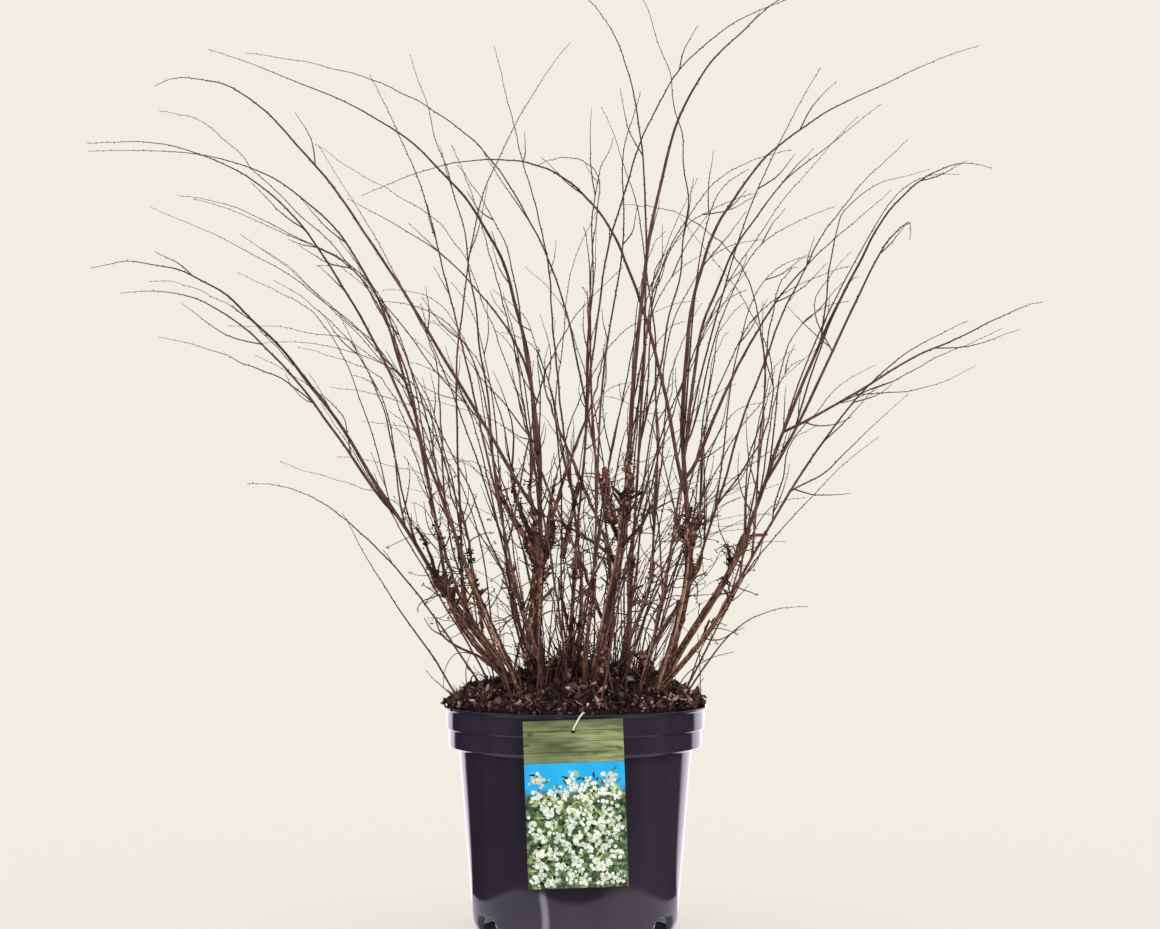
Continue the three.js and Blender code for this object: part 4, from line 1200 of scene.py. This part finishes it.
def side_twig(shoot, share, draw):
    """A short side twig that leaves its shoot at an acute angle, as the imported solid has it."""
    point, direction = shoot.coarse_at(share)
    turn = draw(0, 2 * math.pi)
    level = unit(vec(-direction[1], direction[0], 0))
    aside = level * math.cos(turn) + np.cross(direction, level) * math.sin(turn)
    length = draw(*TWIG_LENGTH) * (1.15 - 0.6 * share)
    spread = draw(*TWIG_SPREAD)
    first = point + 0.5 * length * (direction * math.cos(spread) + aside * math.sin(spread))
    end = first + 0.5 * length * (direction * math.cos(0.75 * spread) + aside * math.sin(0.75 * spread))
    return np.array([point, first, end]), TWIG_RADIUS * vec(1, 0.8, 0.5)


def in_crown(line):
    """Whether a line stays inside the crown."""
    inside = np.hypot(line[:, 0], line[:, 1]) < CROWN_RADIUS + 5
    return bool(inside.all() and (line[:, 2] < CROWN_HEIGHT).all())


def foot_at(*place):
    """Where a limb that rises from the soil starts, under its surface."""
    return on_soil(vec(*place)) - (0, 0, FOOT_DEPTH)


def cane_curve(foot, fork, direction, draw):
    """A cane's bowed curve, which ends in a direction."""
    length = np.linalg.norm(fork - foot)
    bow = [length * draw(-CANE_BOW, CANE_BOW) for _ in range(2)]
    return np.array([foot, foot + vec(*bow, 0.2 * length), fork - 0.4 * length * direction, fork])


class Mass:
    """One cane and the shoots that grow from its fork."""

    def __init__(self, number, name, foot, fork, girth, more, shoots):
        self.name = name
        self.girth = girth
        self.group = name.split("_")[0]
        self.more = more
        self.given = shoots
        self.draw = seeded(MASS_SEED + number)
        self.fork = vec(*fork)
        bend, tip = (vec(*place) for place in shoots[0][1:])
        self.direction = start_direction(arch_curve(self.fork, bend, tip))
        root = self.fork + self.direction * GAP
        self.cane = cane_curve(foot_at(*foot), self.fork, self.direction, self.draw)
        self.stem = Shoot(arch_curve(root, bend, tip), girth * LEADER_RADIUS, self.draw)
        self.heading = math.atan2(fork[1], fork[0])
        self.long = [self.stem]
        self.twigs = []

    def cane_radius(self, shares):
        taper = CANE_FORK_RADIUS + (CANE_FOOT_RADIUS - CANE_FORK_RADIUS) * (1 - shares)
        return self.girth * (taper + CANE_FLARE * np.exp(-9 * shares))


def keep_shoot(clearing, mass, shoot, share):
    """Keeps a long shoot that starts at a share of the mass's stem."""
    shoot.share = share
    clearing.place(*shoot.solid, mass.name)
    mass.long.append(shoot)


def grow_seeded_shoots(clearing, mass):
    """As many more shoots as the table says, if the tries find room for them."""
    for _ in range(SEEDED_TRIES * mass.more):
        if len(mass.long) == len(mass.given) + mass.more:
            return
        share = mass.draw(*SEEDED_ROOT)
        curve = seeded_arch(mass.stem.coarse_at(share)[0], mass.heading, mass.draw)
        shoot = Shoot(curve, SEEDED_RADIUS, mass.draw, SEEDED_STEPS)
        if clearing.is_clear(*shoot.solid, mass.name):
            keep_shoot(clearing, mass, shoot, share)


def grow_side_twigs(clearing, mass):
    """A side twig on each long shoot that has room for one."""
    for shoot in mass.long:
        share = mass.draw(*TWIG_ROOT)
        line, radii = side_twig(shoot, share, mass.draw)
        if in_crown(line) and clearing.is_clear(line, radii, mass.name):
            clearing.place(line, radii, mass.name)
            mass.twigs.append((shoot, share, line, radii[0]))


def grow_basals(clearing):
    """The shoots that rise straight from the soil, by the names of their nodes."""
    basals = {}
    for number, (name, foot, bend, tip) in enumerate(BASAL_SHOOTS):
        curve = arch_curve(foot_at(*foot), vec(*bend), vec(*tip))
        basals["shoot_" + name] = shoot = Shoot(curve, BASAL_RADIUS, seeded(BASAL_SEED + number))
        clearing.place(*shoot.solid, "shoot_" + name)
    return basals


def grow_shrub():
    """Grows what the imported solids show, in the same order and from the same draws."""
    clearing = Clearing()
    masses = [Mass(number, *row) for number, row in enumerate(CANES)]
    cane_shares = np.linspace(0, 1, CANE_STEPS + 1)
    for mass in masses:
        clearing.place(bezier(mass.cane, cane_shares), mass.cane_radius(cane_shares), "cane_" + mass.name)
    for mass in masses:
        clearing.place(*mass.stem.solid, mass.name)
    for mass in masses:
        for share, bend, tip in mass.given[1:]:
            curve = arch_curve(mass.stem.coarse_at(share)[0], vec(*bend), vec(*tip))
            keep_shoot(clearing, mass, Shoot(curve, mass.girth * SHOOT_RADIUS, mass.draw), share)
    basals = grow_basals(clearing)
    for mass in masses:
        grow_seeded_shoots(clearing, mass)
    for mass in masses:
        grow_side_twigs(clearing, mass)
    return masses, basals


# ---------------------------------------------------------------- finer growth within the same reach

class Line:
    """A drawn shoot: points every few millimetres, with radii."""

    def __init__(self, points, radii):
        self.points = points
        self.radii = radii
        self.tangents = unit(np.gradient(points, axis=0))
        self.length = np.linalg.norm(np.diff(points, axis=0), axis=1).sum()

    def at(self, share):
        """The point, direction and radius at a share of the way along."""
        along = share * (len(self.points) - 1)
        step = min(int(along), len(self.points) - 2)
        part = along - step
        point = self.points[step] * (1 - part) + self.points[step + 1] * part
        return point, self.tangents[step], self.radii[step]


def fine_line(shoot, rng, root=None, elbow=0.0, tip=FINE_TIP, taper=WHIP_TAPER, kinks=1.0):
    """The shoot's own line with many more points, small kinks, and its root moved to sit on its host. elbow
    is how far it first swings out of its line, to the side that it heads for."""
    span = np.linalg.norm(np.diff(shoot.coarse, axis=0), axis=1).sum()
    rings = max(10, round(span / RING_STEP)) + 1
    shares = np.linspace(0, 1, rings)
    points = shoot.line(shares)
    if root is not None:
        points += (root - points[0]) * ((1 - shares) ** 3)[:, None]
    along = shares * span
    for length, height in KINKS:
        phases = rng.uniform(0, 2 * np.pi, 3)
        swing = np.sin(2 * np.pi * along[:, None] / (length * rng.uniform(0.8, 1.25)) + phases)
        points += kinks * height * swing * rng.normal(0, 0.7, 3) * np.minimum(1, along / 40)[:, None]
    if elbow:
        aside = (shoot.coarse[-1] - shoot.coarse[0]) * vec(1, 1, 0)
        swing = elbow * (1 - np.exp(-along / 18)) * np.exp(-along / 90)
        points += unit(aside + vec(1e-6, 0, 0)) * swing[:, None]
    radii = tip + (shoot.root_radius - tip) * (1 - shares) ** taper
    radii *= 1 + 0.05 * np.sin(along / 3.1) * np.sin(along / 7.7 + rng.uniform(0, 6))
    return Line(points, radii)


class Group:
    """The drawn limbs, shoots, twigs and buds of one side of the shrub."""

    def __init__(self):
        self.cane_nodes = []
        self.shoot_nodes = []
        self.canes, self.shoots, self.twigs, self.buds = (Batch() for _ in range(4))

    def dress(self, line, rng, weight, buds, twigs):
        """Draws a shoot with its buds and side twigs, by the habit of its kind."""
        self.add_shoot(line, rng, weight)
        self.add_line_buds(line, rng, *buds)
        self.add_side_twigs(line, rng, *twigs)

    def add_shoot(self, line, rng, weight):
        """Draws a long shoot, browner at its foot by its weight."""
        height = np.linspace(0, 1, len(line.points)) + rng.uniform(-0.1, 0.1)
        tint = np.where(height < 0.32 * weight, 0, int(rng.integers(1, 3)))
        tints = np.repeat(tint[:, None], SHOOT_SIDES, axis=1)
        add_tube(self.shoots, line.points, line.radii, SHOOT_SIDES, tints)

    def add_line_buds(self, line, rng, start, size):
        """Alternate buds up a shoot, each turned two fifths of the way round from the last."""
        count = int(line.length * (1 - start) / BUD_STEP)
        if count < 1:
            return
        shares = start + (1 - start) * (np.arange(count) + rng.uniform(0.2, 0.8, count)) / count
        points, tangents, radii = (np.array(column) for column in zip(*map(line.at, shares)))
        level = unit(np.cross(tangents, vec(0.31, 0.17, 0.93)))
        turn = (np.arange(count) * TWO_FIFTHS + rng.normal(0, 0.25, count))[:, None]
        outwards = level * np.cos(turn) + np.cross(tangents, level) * np.sin(turn)
        lean = rng.uniform(0.45, 0.8, (count, 1))
        directions = unit(tangents * np.cos(lean) + outwards * np.sin(lean))
        lengths = size * rng.uniform(1.9, 2.9, count) * (1 - 0.25 * shares)
        places = points + outwards * radii[:, None] * 0.6
        add_buds(self.buds, places, directions, lengths, 0.55 * lengths, int(rng.integers(0, 2)))

    def add_side_twigs(self, line, rng, crowd, top):
        """Side twigs up a shoot as far as a share of its length, close together low in the crown."""
        share = 0.04
        rows = []
        while share < top:
            rows.append((share, *line.at(share)))
            gap = np.interp(rows[-1][1][2], *TWIG_GAPS)
            share += rng.uniform(0.6, 1.4) * gap / line.length / crowd
        for share, *root in rows:
            length = rng.uniform(12, 62) * (1.1 - 0.5 * share)
            if rng.uniform() < 0.12:
                length *= 1.7
            self.add_twig(*root, length, rng)

    def add_twig(self, root, tangent, host_radius, length, rng):
        """A slender twig that leaves its host at an angle and then bends up beside it."""
        aside = unit(np.cross(tangent, unit(rng.normal(0, 1, 3))))
        spread = rng.uniform(0.35, 0.8)
        shares = np.linspace(0, 1, TWIG_RINGS - 1)[:, None]
        turn = spread * (1 - 0.75 * shares)
        wander = rng.normal(0, 0.07, (TWIG_RINGS - 1, 3)).cumsum(axis=0)
        steps = tangent * np.cos(turn) + aside * np.sin(turn) + vec(0, 0, 0.12) * shares + wander
        steps = unit(steps) * length / (TWIG_RINGS - 1)
        points = np.concatenate([root[None], root + steps.cumsum(axis=0)])
        if in_crown(points):
            radii = np.linspace(min(0.75 * host_radius, 0.45 + 0.007 * length), WHIP_TIP, TWIG_RINGS)
            add_tube(self.twigs, points, radii, 4, int(rng.integers(0, 3)))
            self.add_line_buds(Line(points, radii), rng, 0.15, 0.85)


def sideways(tangent, rng):
    """Any direction square to the tangent."""
    return unit(np.cross(tangent, rng.normal(0, 1, 3)))


def bark_relief(rng, along, sides):
    """Ridges, cracks and knots round a cane: each corner's share of the radius, and its look's number, which
    paints shade in the grooves with the darkest bark and a highlight on the ridges with tan bark.
    """
    angles = bearings(sides)
    relief = np.ones((len(along), sides))
    streak = np.zeros_like(relief)
    for waves, height in ((2, 0.05), (3, 0.05), (5, 0.045), (7, 0.03)):
        twist = rng.uniform(-0.012, 0.012)
        swell = 1 + 0.6 * np.sin(along / rng.uniform(9, 22) + rng.uniform(0, 6))
        wave = np.sin(waves * angles + twist * along[:, None] + rng.uniform(0, 6)) * swell[:, None]
        relief += height * wave
        streak += wave * rng.uniform(0.4, 1)
    relief += rng.normal(0, 0.018, relief.shape)
    for _ in range(KNOTS):
        spot, bearing = rng.uniform(0.15, 1) ** 0.7 * along[-1], rng.uniform(0, 2 * np.pi)
        off = np.angle(np.exp(1j * (angles - bearing)))
        knot = np.exp(-(((along[:, None] - spot) / rng.uniform(2, 4.5)) ** 2) - (off / 0.6) ** 2)
        relief += rng.uniform(0.15, 0.42) * knot
    streak += rng.normal(0, 0.5, streak.shape)
    # the streak follows the ridges: painted shade in the grooves, red bark between, tan bark with a painted
    # highlight on the ridges
    return relief, np.where(streak > 1.2, 2, np.where(streak > -0.25, 1, 0))


def add_stub(group, line, rng, girth):
    """A short cut stub near a cane's head."""
    point, tangent, radius = line.at(rng.uniform(0.62, 0.97))
    heading = unit(sideways(tangent, rng) + tangent * rng.uniform(0.4, 1.2))
    length = rng.uniform(6, 24)
    radii = rng.uniform(1.0, 2.2) * girth * vec(1.25, 1.0, 0.92, 0.95, 0.8)
    stub = np.linspace(point, point + heading * (radius + length), len(radii))
    stub[2:-1] += rng.normal(0, 0.4, (2, 3))
    add_tube(group.canes, stub, radii, 8, int(rng.integers(0, 2)), end_tint=CUT)


def add_cane(group, mass, rng):
    """A cane with ridged bark, a swollen head at its fork, pruned stubs and old dead growth."""
    rings, sides, beyond = 60, 18, 5
    shares = np.linspace(0, 1, rings)
    radii = mass.cane_radius(shares) + 2 * mass.girth * np.exp(-(((shares - 0.975) / 0.05) ** 2))
    radii = np.concatenate([radii, np.linspace(radii[-1] * 0.97, 0.9 * mass.stem.root_radius, beyond)])
    head = mass.fork + mass.direction * np.linspace(1.5, 8, beyond)[:, None]
    line = Line(np.concatenate([bezier(mass.cane, shares), head]), radii)
    along = np.concatenate([[0], np.linalg.norm(np.diff(line.points, axis=0), axis=1).cumsum()])
    relief, tint = bark_relief(rng, along, sides)
    # the bark's tints paint shade in the cane's grooves and a highlight on its ridges
    add_tube(group.canes, line.points, radii, sides, tint, relief=relief[None])
    girth = min(mass.girth, 1)
    old_age = max(mass.girth - 0.6, 0)
    for _ in range(int(rng.integers(4, 8))):
        add_stub(group, line, rng, girth)
    add_dead_growth(group, line, rng, (int(3 + 15 * old_age), 0.7, 1.0), (int(7 + 20 * old_age), 0.5))
    for _ in range(int(4 * old_age)):
        add_old_limb(group, line, rng, girth)
    return line


def add_old_limb(group, line, rng, girth):
    """A blunt gnarled limb that was pruned long ago, with dead tufts and twigs on it."""
    root, tangent, _ = line.at(rng.uniform(0.72, 0.97))
    aside = sideways(tangent, rng)
    heading = unit(tangent + aside * rng.uniform(0.35, 0.75))
    limb = curls(rng, root[None], heading[None], vec(rng.uniform(32, 80)), 0.12, 14)[0]
    thick = girth * rng.uniform(1.7, 2.5) * np.linspace(1.15, 0.75, 14) * rng.uniform(0.82, 1.25, 14)
    add_tube(group.canes, limb, thick, 9, 0, end_tint=0)
    add_dead_growth(group, Line(limb, thick), rng, (4, 0.2, 0.8), (7, 0.2))


def add_dead_growth(group, line, rng, tufts, twigs):
    """Small dark tufts of dead buds and scales, given by their number and the shares of the line between
    which they sit, and short dead twigs that stick out any way, given by their number and lowest share."""
    count, *shares = tufts
    for _ in range(count):
        point, tangent, radius = line.at(rng.uniform(*shares))
        number = int(rng.integers(7, 16))
        spread = unit(rng.normal(0, 1, (number, 3)) + tangent)
        places = point + spread * radius + rng.normal(0, 1.6, (number, 3))
        lengths = rng.uniform(1.8, 4.2, number)
        add_buds(group.buds, places, spread, lengths, 0.6 * lengths, 2)
    count, low = twigs
    roots, headings = [], []
    for _ in range(count):
        point, tangent, radius = line.at(rng.uniform(low, 1.0))
        aside = sideways(tangent, rng)
        roots.append(point + aside * radius * 0.6)
        headings.append(unit(aside + tangent * rng.uniform(-0.3, 0.9)))
    lines = curls(rng, np.array(roots), np.array(headings), rng.uniform(9, 40, count), 0.3, 6)
    thickness = rng.uniform(0.4, 0.85, (count, 1)) * np.linspace(1, 0.55, 6)
    add_tubes(group.twigs, lines, thickness, 4, 2)
    for end in lines[:, -1]:
        number = int(rng.integers(2, 6))
        spread = unit(rng.normal(0, 1, (number, 3)))
        lengths = rng.uniform(1.4, 3.2, number)
        add_buds(group.buds, end + spread * 0.8, spread, lengths, rng.uniform(0.9, 1.7, number), 2)


def draw_whip(group, curve, radius, rng, draw, taper=WHIP_TAPER):
    """Draws a thin whip, unless it would leave the crown."""
    whip = Shoot(curve, radius, draw)
    if in_crown(whip.coarse):
        group.dress(fine_line(whip, rng, tip=WHIP_TIP, taper=taper, kinks=WHIP_KINKS), rng, *WHIP)


def grow_whip(group, host, heading, rng, draw, habit):
    """A thin whip from a cane or an old head."""
    shares, spread, rises, leans = habit
    root, _, radius = host.at(draw(*shares))
    curve = seeded_arch(root, heading, draw, spread, rises, leans)
    draw_whip(group, curve, min(0.8 * radius, draw(0.65, 1.05)), rng, draw)


def grow_companion(group, shoot, line, rng, draw, swing):
    """A whip that starts low on a long shoot, leaves it at once and arches beside it."""
    root, _, radius = line.at(draw(0.02, 0.25))
    reach = draw(0.65, 0.96)
    bend, tip = shoot.line(vec(0.5 * reach + 0.06, reach))
    aside = vec(math.copysign(1, tip[0]) * draw(*swing), draw(-90, 90), draw(-60, 10))
    radius = min(0.8 * radius, draw(0.7, 1.1))
    draw_whip(group, arch_curve(root, bend + 0.9 * aside, tip + aside), radius, rng, draw, COMPANION_TAPER)


def add_bent_twigs(group):
    """Dead twigs that droop over the pot's left and right sides."""
    for points, thick, thin in BENT_TWIGS:
        line = smooth_line(points, 5)
        add_tube(group.twigs, line, np.linspace(thick, thin, len(line)), 6, 1)


def add_old_wood(groups):
    """The stumps, pruned limbs and crossing shoots of the table, knotty, with dead tufts and twigs."""
    rng = np.random.default_rng(OLD_WOOD_SEED)
    draw = seeded(OLD_WOOD_SEED)
    sides = 12
    for name, points, thick, thin, tufts, whips in OLD_WOOD:
        line = smooth_line(points, 7)
        rings = len(line)
        line[1:-1] += rng.normal(0, 0.5, (rings - 2, 3))
        radii = np.linspace(thick, thin, rings) * rng.uniform(0.85, 1.2, rings)
        radii[-1] *= 0.7
        relief = rng.uniform(0.88, 1.14, (1, rings, sides))
        tint = rng.choice(3, (rings, sides), p=(0.5, 0.4, 0.1))
        add_tube(groups[name].canes, line, radii, sides, tint, end_tint=0, relief=relief)
        limb = Line(line, radii)
        add_dead_growth(groups[name], limb, rng, (tufts, 0.1, 0.8), (tufts + 2, 0.2))
        across, depth, _ = line[-1] - line[0]
        for _ in range(whips):
            grow_whip(groups[name], limb, math.atan2(depth, across), rng, draw, HEAD_WHIPS)


def add_arched_shoots(groups):
    """The arched shoots of the table, dressed like the others."""
    rng = np.random.default_rng(ARCHED_SEED)
    for name, points, radius in ARCHED_SHOOTS:
        points = smooth_line(points, 5)
        points[1:] += rng.normal(0, 0.45, (len(points) - 1, 3))
        line = Line(points, np.linspace(radius, FINE_TIP, len(points)))
        groups[name].dress(line, rng, *ARCHED_SHOOT)


def grow_ground_whips(group):
    """Thin whips that rise between the canes."""
    rng = np.random.default_rng(GROUND_WHIP_SEED)
    draw = seeded(GROUND_WHIP_SEED)
    for count, spreads, rises, leans, thickness in GROUND_WHIPS:
        for _ in range(count):
            bearing = draw(0, 2 * math.pi)
            foot = foot_at(*around(draw(*GROUND_RING), bearing))
            curve = seeded_arch(foot, bearing, draw, draw(*spreads), rises, leans)
            whip = Shoot(curve, draw(*thickness), draw)
            line = fine_line(whip, rng, tip=WHIP_TIP, kinks=GROUND_WHIP_KINKS)
            group.dress(line, rng, *GROUND_WHIP)


def draw_side_twig(group, host, rng, share, corners, thick):
    """A side twig of the solids, whose outer part bends over to run beside its host."""
    rings = 9
    reach = np.linspace(0, 1, rings)
    start, middle, end = corners
    root, tangent, _ = host.at(share)
    points = bezier((start, middle, middle, end), reach) + root - start
    points += rng.normal(0, 0.5, (rings, 3)).cumsum(axis=0) * reach[:, None]
    length = np.linalg.norm(end - start)
    points += (length * tangent - (end - start)) * (0.4 * reach**2)[:, None]
    line = Line(points, np.linspace(0.85 * thick, FINE_TIP, rings))
    add_tube(group.twigs, points, line.radii, 5, 1)
    group.add_line_buds(line, rng, 0.1, 0.9)


def draw_mass(group, mass, rng, draw):
    """A cane with its long shoots, its twigs and the thin whips that go with it."""
    group.cane_nodes.append("cane_" + mass.name)
    group.shoot_nodes.append("twigs_" + mass.name)
    cane = add_cane(group, mass, rng)
    lines = {}
    for shoot in mass.long:
        if shoot is mass.stem:
            line = fine_line(shoot, rng, taper=SHOOT_TAPER)
        else:
            root = lines[mass.stem].at(shoot.share)[0]
            taper = SHOOT_TAPER if shoot.root_radius > SEEDED_RADIUS else WHIP_TAPER
            line = fine_line(shoot, rng, root, rng.uniform(*ELBOW), taper=taper)
        lines[shoot] = line
        group.dress(line, rng, *LONG_SHOOT)
    for shoot, *twig in mass.twigs:
        draw_side_twig(group, lines[shoot], rng, *twig)
    grow_whip(group, cane, mass.heading, rng, draw, CANE_WHIPS)
    count, swing = COMPANIONS.get(mass.name, (0, None))
    for shoot in mass.long[:len(mass.given)]:
        for _ in range(count):
            grow_companion(group, shoot, lines[shoot], rng, draw, swing)


def make_shrub():
    """Grows the limbs of every group."""
    masses, basals = grow_shrub()
    groups = {name: Group() for name in ("left", "centre", "right", "back", "front", "basal")}
    for number, mass in enumerate(masses):
        rng = np.random.default_rng(FINE_SEED + number)
        draw_mass(groups[mass.group], mass, rng, seeded(WHIP_SEED + number))
    basal = groups["basal"]
    for number, (node, shoot) in enumerate(basals.items()):
        rng = np.random.default_rng(FINE_BASAL_SEED + number)
        basal.shoot_nodes.append(node)
        basal.dress(fine_line(shoot, rng), rng, *BASAL_SHOOT)
    grow_ground_whips(basal)
    add_bent_twigs(basal)
    add_old_wood(groups)
    add_arched_shoots(groups)
    return groups


def build_shrub(groups):
    """Builds every group's pieces."""
    barks = [bark_look(name, *tones) for name, *tones in BARKS]
    shoots = [bark_look(name, *tones, scale=340) for name, *tones in SHOOT_BARKS]
    buds = [bark_look(name, *tones, scale=700) for name, *tones in BUD_SCALES]
    for name, group in groups.items():
        if group.cane_nodes:
            group.canes.build(name + "_canes", barks, "cane_bark", group.cane_nodes)
        slot = "shoot_bark" if name == "basal" else "twig_bark"
        group.shoots.build(name + "_shoots", shoots, slot, group.shoot_nodes)
        group.twigs.build(name + "_fine_twigs", shoots, slot, group.shoot_nodes)
        group.buds.build(name + "_buds", buds, slot, group.shoot_nodes, smooth=False)


# ---------------------------------------------------------------- assembly

make_camera()
make_world()
make_lights(make_floor())
make_pot()
make_soil()
make_tie()
make_label_print()
build_shrub(make_shrub())
